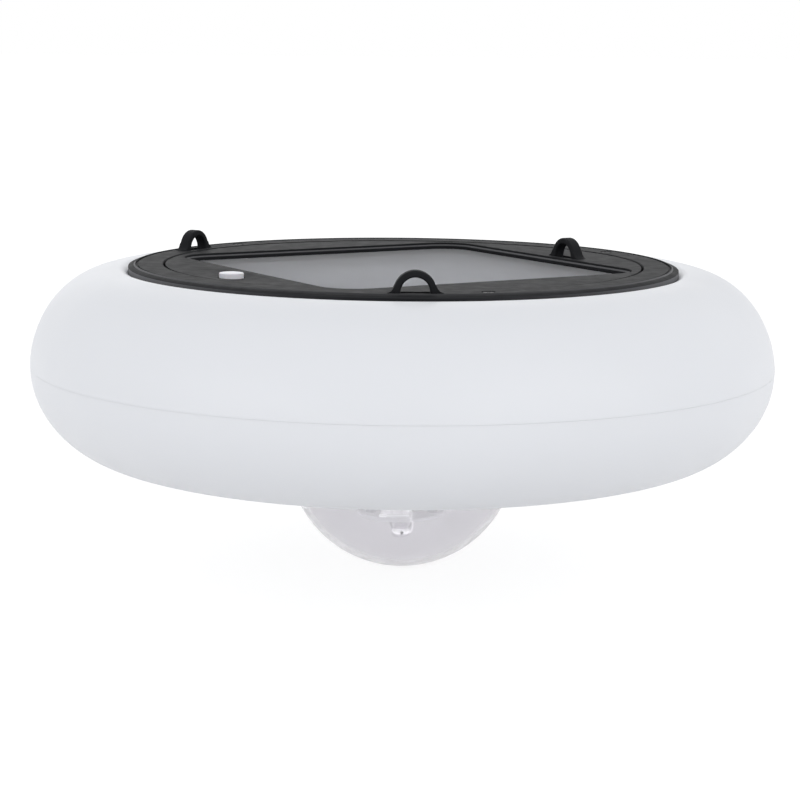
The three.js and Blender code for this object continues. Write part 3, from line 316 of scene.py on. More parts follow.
class Finish:
    """A material built round one Principled shader, with textures in the part's own coordinates."""

    def __init__(self, name, color, roughness, **inputs):
        self.material = bpy.data.materials.new(name)
        self.material.use_nodes = True
        self.tree = self.material.node_tree
        self.shader = self.tree.nodes["Principled BSDF"]
        self.shader.inputs["Base Color"].default_value = (*color, 1)
        self.shader.inputs["Roughness"].default_value = roughness
        for key, value in inputs.items():
            self.shader.inputs[key.replace("_", " ").title().replace("Ior", "IOR")].default_value = value
        self.name, self.color = name, color
        self.coordinates = self.tree.nodes.new("ShaderNodeTexCoord").outputs["Object"]
        self.bump = None

    def node(self, kind, **settings):
        made = self.tree.nodes.new(kind)
        for key, value in settings.items():
            setattr(made, key, value)
        return made

    def link(self, output, target):
        self.tree.links.new(output, target)

    def stretched(self, x, y, z):
        """The part's coordinates, scaled along each axis."""
        mapping = self.node("ShaderNodeMapping")
        mapping.inputs["Scale"].default_value = (x, y, z)
        self.link(self.coordinates, mapping.inputs["Vector"])
        return mapping.outputs["Vector"]

    def noise(self, scale, detail, source=None):
        """A noise texture with this many lumps per metre."""
        texture = self.node("ShaderNodeTexNoise")
        texture.inputs["Scale"].default_value = scale
        texture.inputs["Detail"].default_value = detail
        self.link(source or self.coordinates, texture.inputs["Vector"])
        return texture.outputs["Fac"]

    def spread(self, value, low, high):
        """A noise, which mostly keeps within 0.3 to 0.7, mapped to another range."""
        ranged = self.node("ShaderNodeMapRange")
        limits = {"From Min": 0.3, "From Max": 0.7, "To Min": low, "To Max": high}
        for key, number in limits.items():
            ranged.inputs[key].default_value = number
        self.link(value, ranged.inputs["Value"])
        return ranged.outputs["Result"]

    def tinted(self, value, other):
        """Mixes the base colour towards another by a value."""
        mix = self.node("ShaderNodeMix", data_type="RGBA")
        target = self.shader.inputs["Base Color"]
        if target.links:
            self.link(target.links[0].from_socket, mix.inputs["A"])
        else:
            mix.inputs["A"].default_value = (*self.color, 1)
        mix.inputs["B"].default_value = (*other, 1)
        self.link(value, mix.inputs["Factor"])
        self.link(mix.outputs["Result"], target)
        return self

    def worn(self, value, low, high):
        """Varies the roughness by a value."""
        self.link(self.spread(value, low, high), self.shader.inputs["Roughness"])
        return self

    def bumped(self, value, height_mm, strength):
        """Raises the surface by a value, in millimetres; later bumps ride on earlier ones."""
        bump = self.node("ShaderNodeBump")
        bump.inputs["Strength"].default_value = strength
        bump.inputs["Distance"].default_value = height_mm * MM
        self.link(value, bump.inputs["Height"])
        if self.bump:
            self.link(self.bump, bump.inputs["Normal"])
        self.bump = bump.outputs["Normal"]
        self.link(self.bump, self.shader.inputs["Normal"])
        return self

    def math(self, operation, a, b):
        step = self.node("ShaderNodeMath", operation=operation)
        for socket, value in zip(step.inputs, (a, b)):
            if isinstance(value, (int, float)):
                socket.default_value = value
            else:
                self.link(value, socket)
        return step.outputs["Value"]

    def lines(self, axis, pitch_mm, width_mm, offset_mm=0):
        """1 on thin parallel lines across an axis, 0 between them, counted from 1000 pitches off."""
        parts = self.node("ShaderNodeSeparateXYZ")
        self.link(self.coordinates, parts.inputs["Vector"])
        shifted = self.math("ADD", parts.outputs[axis], (offset_mm + 1000 * pitch_mm) * MM)
        phase = self.math("MODULO", shifted, pitch_mm * MM)
        return self.math("LESS_THAN", phase, width_mm * MM)


def float_plastic():
    made = Finish("float_plastic", (0.79, 0.8, 0.825), 0.42, subsurface_weight=0.15, subsurface_scale=0.002)
    made.shader.inputs["Subsurface Radius"].default_value = (1.0, 0.95, 0.9)
    made.tinted(made.spread(made.noise(9, 2), 0, 0.5), (0.765, 0.775, 0.8))
    made.worn(made.noise(40, 3), 0.38, 0.47)
    made.bumped(made.noise(14, 2), 0.25, 0.3)
    return made.bumped(made.noise(2200, 3), 0.012, 0.35)


def black_plastic():
    made = Finish("black_plastic", (0.012, 0.0125, 0.014), 0.6, specular_ior_level=0.07,
                  sheen_weight=0.012, sheen_roughness=0.4)
    made.tinted(made.spread(made.noise(60, 5), 0, 0.6), (0.018, 0.0185, 0.02))
    # The worn attribute lightens faces: painted reflection on the bezel's sides and lip, and the tray's step
    # edge where it faces up.
    lightened = made.node("ShaderNodeAttribute", attribute_name="worn").outputs["Fac"]
    made.tinted(lightened, (0.15, 0.15, 0.155))
    made.worn(made.noise(180, 4), 0.55, 0.66)
    return made.bumped(made.noise(2600, 2), 0.03, 0.6)


def button_plastic():
    made = Finish("button_plastic", (0.78, 0.785, 0.81), 0.32, subsurface_weight=0.1, subsurface_scale=0.002)
    made.worn(made.noise(400, 3), 0.28, 0.4)
    return made.bumped(made.noise(1800, 2), 0.008, 0.4)


def pale_plastic(name, glow):
    # The glow is painted light: the part glows though it is no lamp, for the light the dome keeps out.
    made = Finish(name, (0.8, 0.8, 0.81), 0.4, emission_strength=glow)
    made.tinted(made.spread(made.noise(90, 3), 0, 0.5), (0.76, 0.76, 0.77))
    return made.bumped(made.noise(1500, 2), 0.012, 0.4)


def grey_plastic():
    made = Finish("grey_plastic", (0.25, 0.26, 0.28), 0.5)
    made.tinted(made.spread(made.noise(70, 3), 0, 0.6), (0.22, 0.23, 0.25))
    return made.bumped(made.noise(1800, 2), 0.02, 0.5)


def rubber():
    made = Finish("rubber", (0.02, 0.02, 0.021), 0.8)
    made.worn(made.noise(300, 4), 0.7, 0.9)
    return made.bumped(made.noise(1200, 4), 0.02, 0.6)


def silicone():
    made = Finish("silicone", (0.5, 0.51, 0.53), 0.45, subsurface_weight=0.3, subsurface_scale=0.002)
    return made.bumped(made.noise(900, 3), 0.02, 0.4)


def clear_plastic():
    made = Finish("clear_plastic", (0.94, 0.93, 0.955), 0.06, ior=1.25, transmission_weight=0.8)
    made.worn(made.noise(30, 3), 0.05, 0.1)
    return made.bumped(made.noise(18, 2), 0.02, 0.15)


def panel_glass():
    made = Finish("panel_glass", (0.55, 0.56, 0.59), 0.34, ior=1.012, transmission_weight=0.93,
                  sheen_roughness=0.4)
    made.link(made.spread(made.noise(42, 5), 0.25, 0.29), made.shader.inputs["Sheen Weight"])
    return made.worn(made.noise(9, 4, made.stretched(1, 5, 1)), 0.31, 0.39)


def solar_cells():
    """Dark cells with fine contact lines one way and broad collector strips the other."""
    made = Finish("solar_cells", (0.012, 0.016, 0.034), 0.28)
    made.tinted(made.spread(made.noise(35, 3), 0, 0.5), (0.02, 0.026, 0.05))
    made.tinted(made.lines("X", 1.9, 0.14), (0.16, 0.17, 0.19))
    return made.tinted(made.lines("Y", 12.53, 1.1, 0.55), (0.34, 0.35, 0.37))


def metal(name, shade, roughness, smoothest, roughest):
    made = Finish(name, shade, roughness, metallic=1.0)
    made.worn(made.noise(900, 4), smoothest, roughest)
    return made.bumped(made.noise(2600, 3), 0.006, 0.5)


def bright_metal():
    # The glow is painted light: the metal glows though it is no lamp, for the light the dome keeps out.
    made = Finish("bright_metal", (0.95, 0.95, 0.95), 0.14, metallic=1.0, emission_strength=METAL_GLOW)
    made.worn(made.noise(900, 3), 0.1, 0.2)
    return made.bumped(made.noise(1800, 2), 0.005, 0.4)


def board_green():
    made = Finish("board_green", (0.012, 0.09, 0.045), 0.35)
    cells = made.node("ShaderNodeTexVoronoi", feature="DISTANCE_TO_EDGE", distance="MANHATTAN")
    cells.inputs["Scale"].default_value = 190
    made.link(made.coordinates, cells.inputs["Vector"])
    tracks = made.math("LESS_THAN", cells.outputs["Distance"], 0.09)
    made.tinted(tracks, (0.03, 0.19, 0.1))
    return made.bumped(tracks, 0.035, 0.5)


def board_white():
    # The glow is painted light: the board glows though it is no lamp, for the light the dome keeps out.
    made = Finish("board_white", (0.84, 0.85, 0.86), 0.38, emission_strength=BOARD_GLOW)
    made.tinted(made.spread(made.noise(120, 3), 0, 0.5), (0.79, 0.8, 0.81))
    return made.bumped(made.noise(2000, 2), 0.01, 0.4)


def component_resin():
    made = Finish("component", (0.02, 0.02, 0.022), 0.5)
    made.worn(made.noise(700, 3), 0.42, 0.6)
    return made.bumped(made.noise(3000, 2), 0.01, 0.5)


def cell_wrap():
    made = Finish("cell_wrap", (0.04, 0.18, 0.07), 0.3, coat_weight=0.3)
    made.tinted(made.spread(made.noise(60, 3), 0, 0.4), (0.035, 0.15, 0.06))
    return made.bumped(made.noise(500, 2), 0.02, 0.3)


def cable_jacket():
    made = Finish("cable_jacket", (0.3, 0.02, 0.02), 0.45)
    made.worn(made.noise(500, 3), 0.38, 0.52)
    return made.bumped(made.noise(1500, 2), 0.01, 0.4)


finishes = {made.name: made.material for made in (
    float_plastic(), black_plastic(), button_plastic(), pale_plastic("white_plastic", FAINT_GLOW),
    pale_plastic("lit_plastic", BLOCK_GLOW), grey_plastic(), rubber(), silicone(), clear_plastic(),
    panel_glass(), solar_cells(), metal("steel", (0.66, 0.66, 0.67), 0.3, 0.22, 0.42), bright_metal(),
    metal("dark_steel", (0.09, 0.09, 0.092), 0.4, 0.34, 0.5), board_green(), board_white(),
    component_resin(), cell_wrap(), cable_jacket())}


# Camera, lamps and floor


def from_camera(across, away, up):
    """A place given as seen by the camera: to the right, away from it and up, in metres."""
    turn = math.radians(PHOTO_AZIMUTH)
    return Vector((across * math.cos(turn) - away * math.sin(turn),
                   across * math.sin(turn) + away * math.cos(turn), up))


def make_camera():
    data = bpy.data.cameras.new("camera")
    data.lens, data.sensor_width = PHOTO_LENS, SENSOR
    data.shift_x, data.shift_y = PHOTO_SHIFT
    camera = bpy.data.objects.new("camera", data)
    bpy.context.scene.collection.objects.link(camera)
    rise = math.radians(PHOTO_ELEVATION)
    back = from_camera(0, -math.cos(rise), math.sin(rise))
    aim = (-back).to_track_quat("-Z", "Y").to_matrix().to_4x4()
    roll = Matrix.Rotation(math.radians(PHOTO_ROLL), 4, "Z")
    camera.matrix_world = Matrix.Translation(back * PHOTO_DISTANCE) @ aim @ roll
    bpy.context.scene.camera = camera


def make_lamp(name, place, size, energy):
    data = bpy.data.lights.new(name, "AREA")
    data.shape, data.size, data.energy = "DISK", size, energy
    lamp = bpy.data.objects.new(name, data)
    bpy.context.scene.collection.objects.link(lamp)
    lamp.location = place
    lamp.rotation_mode = "QUATERNION"
    lamp.rotation_quaternion = (-place).to_track_quat("-Z", "Y")


def light_path_mix(tree):
    """1 for rays that should see the plain background: camera, mirror-like and see-through rays."""
    path = tree.nodes.new("ShaderNodeLightPath")
    total = None
    for name in ("Is Camera Ray", "Is Glossy Ray", "Is Transmission Ray"):
        if total is None:
            total = path.outputs[name]
            continue
        more = tree.nodes.new("ShaderNodeMath")
        more.operation = "MAXIMUM"
        tree.links.new(total, more.inputs[0])
        tree.links.new(path.outputs[name], more.inputs[1])
        total = more.outputs["Value"]
    return total


def make_world():
    """An even white sky to look at, and for light one that is a little brighter at the horizon."""
    world = bpy.data.worlds.new("world")
    bpy.context.scene.world = world
    world.use_nodes = True
    tree = world.node_tree
    light = tree.nodes["Background"]
    light.inputs["Color"].default_value = (0.97, 0.98, 1, 1)
    direction = tree.nodes.new("ShaderNodeTexCoord")
    parts = tree.nodes.new("ShaderNodeSeparateXYZ")
    fall = tree.nodes.new("ShaderNodeMapRange")
    fall.inputs["To Min"].default_value = HORIZON_LIGHT
    fall.inputs["To Max"].default_value = ZENITH_LIGHT
    tree.links.new(direction.outputs["Generated"], parts.inputs["Vector"])
    tree.links.new(parts.outputs["Z"], fall.inputs["Value"])
    tree.links.new(fall.outputs["Result"], light.inputs["Strength"])
    plain = tree.nodes.new("ShaderNodeBackground")
    plain.inputs["Color"].default_value = (1, 1, 1, 1)
    plain.inputs["Strength"].default_value = 1.0
    mix = tree.nodes.new("ShaderNodeMixShader")
    tree.links.new(light_path_mix(tree), mix.inputs[0])
    tree.links.new(light.outputs[0], mix.inputs[1])
    tree.links.new(plain.outputs[0], mix.inputs[2])
    tree.links.new(mix.outputs[0], tree.nodes["World Output"].inputs["Surface"])


def make_floor():
    """A pale floor that shows white to the camera, with a faint shadow."""
    corners = [(x * FLOOR_REACH, y * FLOOR_REACH, FLOOR_Z) for x, y in ((-1, -1), (1, -1), (1, 1), (-1, 1))]
    floor = new_object("floor", corners, [(0, 1, 2, 3)])
    material = bpy.data.materials.new("floor")
    material.use_nodes = True
    tree = material.node_tree
    plain = tree.nodes["Principled BSDF"]
    seen = tree.nodes.new("ShaderNodeBsdfPrincipled")
    for shader, shade, glow in ((plain, 0.88, 0.0), (seen, 0.25, 0.86)):
        shader.inputs["Base Color"].default_value = (shade, shade, shade, 1)
        shader.inputs["Roughness"].default_value = 0.9
        shader.inputs["Specular IOR Level"].default_value = 0.0
        shader.inputs["Emission Color"].default_value = (1, 1, 1, 1)
        shader.inputs["Emission Strength"].default_value = glow
    mix = tree.nodes.new("ShaderNodeMixShader")
    tree.links.new(light_path_mix(tree), mix.inputs[0])
    tree.links.new(plain.outputs[0], mix.inputs[1])
    tree.links.new(seen.outputs[0], mix.inputs[2])
    tree.links.new(mix.outputs[0], tree.nodes["Material Output"].inputs["Surface"])
    floor.data.materials.append(material)


make_camera()
make_world()
make_floor()
make_lamp("key", from_camera(1.7, -1.8, 0.35), 2.4, 12)
make_lamp("fill", from_camera(-1.8, -1.7, 0.2), 1.8, 8.5)
make_lamp("back", from_camera(-0.3, 2.2, 0.6), 1.8, 3)
bpy.context.scene.view_settings.view_transform = "Standard"


# Float


def make_upper_float():
    skin = curve((FLOAT_R, SEAM + SEAM_EASE), (FLOAT_R, UPPER_RISE), (CREST_R + UPPER_REACH, CREST_Z),
                 (CREST_R, CREST_Z), SKIN_STEPS)
    lip = curve((CREST_R, CREST_Z), (CREST_R - 1.4, CREST_Z), (131.3, 43.2), (LIP_R, LIP_Z), 14)
    seat = [(LIP_R, LANDING_Z), (SEAT_R, LANDING_Z), (SEAT_R, SEAT_Z), (THROAT_R, SEAT_Z),
            (THROAT_R, SEAT_Z - WALL), (SEAT_R + WALL, SEAT_Z - WALL)]
    lining = curve((CREST_R, CREST_Z - WALL), (CREST_R + LINING_REACH, CREST_Z - WALL),
                   (INSIDE_R, LINING_RISE), (INSIDE_R, CLEAR), LINING_STEPS)
    joint = [(INSIDE_R, -LAP), (LAP_R, -LAP), (LAP_R, SEAM), (FLOAT_R - 0.04, SEAM)]
    shell = lathe("float_upper", skin + lip[1:] + seat + lining + joint)
    dressed(shell, finishes["float_plastic"], ["float_shell_upper"])


def make_lower_float():
    port = [(PORT_R, BOTTOM_Z + 0.8), (PORT_R + 0.25, BOTTOM_Z + 0.2), (PORT_R + 0.9, BOTTOM_Z)]
    skin = curve((BOTTOM_R, BOTTOM_Z), (BOTTOM_R + LOWER_REACH, BOTTOM_Z), (FLOAT_R, -LOWER_FALL),
                 (FLOAT_R, -SEAM - SEAM_EASE), SKIN_STEPS)
    joint = [(FLOAT_R - 0.04, -SEAM), (LAP_R + CLEAR, -SEAM), (LAP_R + CLEAR, -LAP - CLEAR)]
    lining = curve((INSIDE_R, -LAP - CLEAR), (INSIDE_R, -LINING_FALL),
                   (BOTTOM_R + LINING_LOW_REACH, BOTTOM_Z + WALL), (BOTTOM_R, BOTTOM_Z + WALL), LINING_STEPS)
    shell = lathe("float_lower", port + skin + joint + lining + [(PORT_R, BOTTOM_Z + WALL)])
    dressed(shell, finishes["float_plastic"], ["float_shell_lower"])


# Bezel, tray and panel


def eye_place(angle):
    """Where an eye stands on the bezel, and its turn: along the rim."""
    turn = math.radians(angle)
    return EYE_RING * math.cos(turn), EYE_RING * math.sin(turn), turn - math.pi / 2


# Each eye's x, y and turn, and the top and underside of the plate that it stands in
EYE_PLACES = {
    "tether_eye_front": (*eye_place(FRONT_EYE_ANGLE), BEZEL_TOP, BEZEL_UNDER),
    "tether_eye_left": (*eye_place(LEFT_EYE_ANGLE), BEZEL_TOP, BEZEL_UNDER),
    "tether_eye_rear": (*REAR_EYE, 0.0, TRAY_TOP, TRAY_UNDER),
}


def eye_slot(name):
    """A cutter for the slot that an eye comes up through."""
    x, y, turn, top, under = EYE_PLACES[name]
    slot = block("slot", 2 * (EYE_W + CLEAR), EYE_D + 2 * CLEAR, under - 1, top + 1, 0.5, 0.02)
    return placed(slot, x, y, 0, turn)


def screw_places():
    """The x, y and turn of each bezel screw."""
    turns = [math.radians(angle) for angle in BEZEL_SCREW_ANGLES]
    return [(EYE_RING * math.cos(turn), EYE_RING * math.sin(turn), turn) for turn in turns]


def make_bezel():
    foot = [(LEDGE_R, FOOT_Z, 0.3), (FOOT_R, FOOT_Z, 0.2), (FOOT_R, BEZEL_UNDER), (SEAT_R, BEZEL_UNDER),
            (SEAT_R, RIM_UNDER)]
    outer = [(BEZEL_R - 0.7, RIM_UNDER, 0.2), (BEZEL_R, RIM_UNDER + 0.7, 0.3), (BEZEL_R, OUTER_FACE_TOP),
             (BEZEL_R, OUTER_FACE_TOP + 0.3, 0.25), (BEZEL_R - 1.2, BEZEL_TOP - 0.5, 0.6)]
    lip = [(BEZEL_R - 2.6, BEZEL_TOP - BEZEL_LIP, 0.2), (BEZEL_R - 3.1, BEZEL_TOP + BEZEL_LIP, 0.2)]
    groove = [(GROOVE_R, BEZEL_TOP + BEZEL_LIP, 0.15), (GROOVE_R, BEZEL_TOP - GROOVE_D),
              (GROOVE_R - GROOVE_W, BEZEL_TOP - GROOVE_D), (GROOVE_R - GROOVE_W, BEZEL_TOP, 0.25)]
    inner = [(BEZEL_BORE + 0.6, BEZEL_TOP, 0.2), (BEZEL_BORE, BEZEL_TOP - 1), (BEZEL_BORE, LEDGE_TOP),
             (LEDGE_R, LEDGE_TOP, 0.2)]
    bezel = lathe("bezel", eased(foot + outer + lip + groove + inner))
    holes = []
    for x, y, _turn in screw_places():
        hole = lathe("sink", [
            (0, FOOT_Z - 1), (1.6, FOOT_Z - 1), (1.6, BEZEL_TOP - 1.8), (2.9, BEZEL_TOP - 0.3),
            (3.1, BEZEL_TOP), (3.3, BEZEL_TOP + 1), (0, BEZEL_TOP + 1)], SMALL)
        holes.append(placed(hole, x, y))
    carved(bezel, holes + [eye_slot("tether_eye_front"), eye_slot("tether_eye_left")])

    def lightened(centre, _normal):
        """Painted reflection: the outer face and the lip are lightened towards the two sides away from the
        front, and the top of the outer face a little all round.
        """
        radius = centre.xy.length
        # 0 at the front and 1 at the two sides, where the painted reflection is strongest
        sideways = math.sin(math.atan2(centre.y, centre.x) - FRONT) ** 2
        if radius > BEZEL_R - 0.2:
            return min(1, 1.1 * sideways) if centre.z < OUTER_FACE_TOP else 0.1
        return 0.2 + 0.7 * sideways if BEZEL_R - 3.2 < radius < BEZEL_R - 2.5 else 0

    lightened_faces(bezel, lightened)
    dressed(bezel, finishes["black_plastic"], ["bezel_ring"])


def make_bezel_screws():
    top, tip = BEZEL_TOP - 0.3, BEZEL_TOP - SCREW_LENGTH
    thread = []
    for k in range(THREAD_TURNS):
        z = tip + THREAD_PITCH * k
        thread += [(SCREW_R, z), (THREAD_R, z + THREAD_PITCH / 2)]
    head = [(SCREW_R, top - 1.5), (2.45, top - 0.45), (SCREW_HEAD_R, top - 0.3), (SCREW_HEAD_R, top - 0.12),
            (2.48, top), (0, top)]
    for i, (x, y, turn) in enumerate(screw_places()):
        screw = lathe("screw", [(0, tip)] + thread + head, SMALL)
        slots = []
        for slot_turn in (0, math.pi / 2):
            slot = block("cross", CROSS_LENGTH, CROSS_WIDTH, top - CROSS_DEPTH, top + 1, 0.05, 0.02)
            slots.append(placed(slot, turn=slot_turn))
        carved(screw, slots)
        placed(screw, x, y, 0, turn + 0.5 * i)
        screw.name = f"bezel_screw_head_{i + 1}"
        dressed(screw, finishes["dark_steel"], [f"bezel_screw_{i + 1}"], angle=30)


def flared(side, corner, floor, top, fillet, steps=5):
    """A cutter for a square recess whose upper edge is rounded."""
    rings = [square_ring(side, corner, floor)]
    for k in range(steps + 1):
        angle = k * math.pi / 2 / steps
        out = fillet * (1 - math.cos(angle))
        rings.append(square_ring(side + 2 * out, corner + out, top - fillet + fillet * math.sin(angle)))
    rings.append(square_ring(side + 2 * fillet, corner + fillet, top + 1))
    return loft("recess", rings)


def finger_dish(steps=48):
    """A cutter for the shallow dish round the button: the lowest part of a flattened ball."""
    ball = [(math.cos(a), math.sin(a)) for a in [math.pi * (k / steps - 0.5) for k in range(steps + 1)]]
    ball[0], ball[-1] = (0.0, -1.0), (0.0, 1.0)
    dish = lathe("dish", ball, 128)
    spread = 1 / math.sqrt(1 - ((DISH_RISE - DISH_DEPTH) / DISH_RISE) ** 2)
    dish.data.transform(Matrix.Diagonal((DISH_LENGTH * spread, DISH_WIDTH * spread, DISH_RISE, 1)))
    return placed(dish, *BUTTON, TRAY_TOP - DISH_DEPTH + DISH_RISE)


def make_tray():
    """A disc with a well for the panel, a sleeve for the button, a step and a finger dish."""
    ledge, joined = TRAY_TOP - STEP_D, TRAY_UNDER + 0.5
    disc = lathe("tray", eased([
        (0, TRAY_UNDER), (TRAY_R, TRAY_UNDER, 0.3), (TRAY_R, TRAY_TOP, 0.2), (0, TRAY_TOP)]))
    well = loft("well", [square_ring(WELL_SIDE, WELL_CORNER, z) for z in (WELL_UNDER, joined)])
    sleeve = placed(rod("sleeve", SLEEVE_R, SLEEVE_UNDER, joined), *BUTTON)
    carved(disc, [well, sleeve], "UNION")

    guide = lathe("guide", [
        (0, SLEEVE_UNDER - 1.6), (GUIDE_R, SLEEVE_UNDER - 1.6), (GUIDE_R, BUTTON_STOP),
        (BUTTON_HOLE_R, BUTTON_STOP), (BUTTON_HOLE_R, TRAY_TOP - 1 - HOLE_FLARE),
        (BUTTON_HOLE_R + HOLE_FLARE, TRAY_TOP - 1), (BUTTON_HOLE_R + HOLE_FLARE, TRAY_TOP + 1),
        (0, TRAY_TOP + 1)], SMALL)
    cable = placed(rod("cable", CABLE_HOLE_R, WELL_UNDER - 2.8, WELL_TOP + 2), 0, CABLE_HOLE_Y)
    carved(disc, [flared(RECESS_SIDE + 2 * STEP_W, RECESS_CORNER + STEP_W, ledge, TRAY_TOP, 0.35)])
    carved(disc, [flared(RECESS_SIDE, RECESS_CORNER, WELL_TOP, ledge, 0.6)])
    carved(disc, [finger_dish()])
    carved(disc, [placed(guide, *BUTTON), cable, eye_slot("tether_eye_rear")])

    def lightened(centre, normal):
        """The edge of the step is lightened where it faces up."""
        within = max(abs(centre.x), abs(centre.y)) < RECESS_SIDE / 2 + STEP_W + 0.3
        return 0.6 if within and ledge - 0.6 < centre.z < ledge + 0.02 and normal.z > 0.1 else 0

    lightened_faces(disc, lightened)
    dressed(disc, finishes["black_plastic"], ["panel_tray"])


def make_panel():
    side, corner = RECESS_SIDE - 2 * CLEAR, RECESS_CORNER - CLEAR
    glass = eased_block(
        "panel_cover", lambda inset, z: square_ring(side - 2 * inset, corner - inset, z, 20),
        GLASS_UNDER, GLASS_TOP, 0.5, 4)
    dressed(glass, finishes["panel_glass"], ["solar_glass"])
    inner, inner_corner = side - 2 * CELL_MARGIN, corner - CELL_MARGIN
    cells = eased_block(
        "cell_sheet", lambda inset, z: square_ring(inner - 2 * inset, inner_corner - inset, z, 12),
        CELLS_LOW, CELLS_TOP, 0.1, 2)
    grooves = [placed(block("groove", inner + 4, 1.2, CELLS_TOP - 0.25, CELLS_TOP + 1, 0.05, 0.02),
                      0, (i + 1) * inner / CELL_STRIPS - inner / 2) for i in range(CELL_STRIPS - 1)]
    carved(cells, grooves)
    dressed(cells, finishes["solar_cells"], ["solar_cell_sheet"])


# Tether eyes and button


def eye_skirt(side, top):
    """The flare that spreads one foot of an eye onto its plate."""
    inner, outer, depth = EYE_W - 0.9, EYE_W + SKIRT_W, EYE_D / 2 - 0.1
    outline = ([(inner, 0.1), (outer, 0.1)]
               + curve((outer, 0.2), (EYE_W + 0.8, 0.4), (EYE_W + 0.2, 1.6), (inner + 0.25, SKIRT_H), 12)
               + [(inner, SKIRT_H - 0.1)])
    return loft("skirt", [[(side * x, y, top + z) for x, z in outline] for y in (-depth, depth)])


def make_eye(name):
    """A half-ring on two feet, with a flange below the plate and a flare round each foot."""
    place_x, place_y, turn, top, under = EYE_PLACES[name]
    half_w, half_h = (EYE_W + LOOP_W) / 2, (EYE_H + LOOP_H) / 2
    thick, ease, steps = (EYE_W - LOOP_W) / 2, 0.85, 40
    section = [(x, y) for x, y, _z in rounded_ring(2 * thick, EYE_D, ease, 0)]
    flange_top = under - CLEAR
    foot = flange_top - 2.2 - top
    stations = [(half_w, foot, 0.0), (half_w, -0.5, 0.0)]
    for k in range(steps + 1):
        t = math.pi * k / steps
        normal = math.atan2(half_w * math.sin(t), half_h * math.cos(t))
        stations.append((half_w * math.cos(t), half_h * math.sin(t), normal))
    stations += [(-half_w, -0.5, math.pi), (-half_w, foot, math.pi)]
    arch = loft("arch", [
        [(cx + out * math.cos(normal), side, top + cz + out * math.sin(normal)) for out, side in section]
        for cx, cz, normal in stations])
    flange = block("flange", EYE_FLANGE_W, EYE_FLANGE_D, flange_top - EYE_FLANGE_H, flange_top, 0.8, 0.4)
    eye = carved(arch, [flange, eye_skirt(-1, top), eye_skirt(1, top)], "UNION")
    placed(eye, place_x, place_y, 0, turn)
    eye.name = name.replace("tether_eye", "eye_loop")
    dressed(eye, finishes["black_plastic"], [name], angle=50)


def make_button():
    stem = [(0, STEM_UNDER), (STEM_R, STEM_UNDER, 0.3), (STEM_R, BUTTON_UNDER)]
    flange_top = BUTTON_STOP - CLEAR
    flange = [(BUTTON_FLANGE_R, BUTTON_UNDER, 0.2), (BUTTON_FLANGE_R, flange_top, 0.2),
              (BUTTON_R, flange_top)]
    ring_seat = [(BUTTON_R, RING_LOW), (RING_SEAT_R, RING_LOW), (RING_SEAT_R, RING_HIGH),
                 (BUTTON_R, RING_HIGH, 0.1)]
    crown = [(BUTTON_R, BUTTON_TOP - 0.3, 0.45), (3.6, BUTTON_TOP - 0.05, 0.6), (0, BUTTON_TOP)]
    cap = placed(lathe("button_top", eased(stem + flange + ring_seat + crown), ROUND), *BUTTON)
    dressed(cap, finishes["button_plastic"], ["button_cap"], "button", 45)


def make_spring():
    """The return spring, with closed end turns."""
    low, high, closed = COIL_LOW + COIL_WIRE, COIL_TOP - COIL_WIRE, 2.3 * COIL_WIRE
    pitch = (high - low - 2 * closed) / (COIL_TURNS - 2)
    path = []
    for k in range(24 * COIL_TURNS + 1):
        turns = k / 24
        height = low + closed * min(turns, 1) + pitch * min(max(turns - 1, 0), COIL_TURNS - 2)
        height += closed * max(turns - COIL_TURNS + 1, 0)
        angle = 2 * math.pi * turns
        path.append((COIL_R * math.cos(angle), COIL_R * math.sin(angle), height))
    coil = placed(tube("button_coil", path, COIL_WIRE, steps=2), *BUTTON)
    dressed(coil, finishes["steel"], ["button_spring"])
    foot, length = Vector((*BUTTON, COIL_LOW)) * MM, COIL_TOP - COIL_LOW
    tuple(foot)
    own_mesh(coil)


# Dome and lamp


def bowl(radius, depth, rim_z, steps=16):
    """A bowl's outline, from its lowest point on the axis up to its rim."""
    points = [(radius * math.cos(a), rim_z + depth * math.sin(a))
              for a in [-math.pi / 2 * (1 - k / steps) for k in range(steps + 1)]]
    return [(0.0, rim_z - depth)] + points[1:]


def make_dome():
    inner = DOME_R - DOME_WALL
    flange = [(DOME_R, DOME_FLANGE_LOW - 0.4), (DOME_R + 0.4, DOME_FLANGE_LOW),
              (DOME_FLANGE_R, DOME_FLANGE_LOW), (DOME_FLANGE_R, DOME_FLANGE_TOP), (inner, DOME_FLANGE_TOP)]
    profile = bowl(DOME_R, DOME_R, DOME_MIDDLE, 56) + flange + bowl(inner, inner, DOME_MIDDLE, 56)[::-1]
    dressed(lathe("dome_lens", profile, 160), finishes["clear_plastic"], ["dome"])


def make_lamp_board():
    board = lathe("lamp_disc", eased([
        (0, LAMP_UNDER), (LAMP_R, LAMP_UNDER, 0.2), (LAMP_R, LAMP_TOP, 0.2), (0, LAMP_TOP)]), ROUND)
    holes = []
    for angle in LAMP_HOLE_ANGLES:
        turn = math.radians(angle)
        hole = rod("hole", LAMP_HOLE_R, LAMP_UNDER - 1, LAMP_TOP + 1)
        holes.append(placed(hole, LAMP_HOLE_RING * math.cos(turn), LAMP_HOLE_RING * math.sin(turn)))
    carved(board, holes)
    dressed(board, finishes["board_white"], ["lamp_board"])


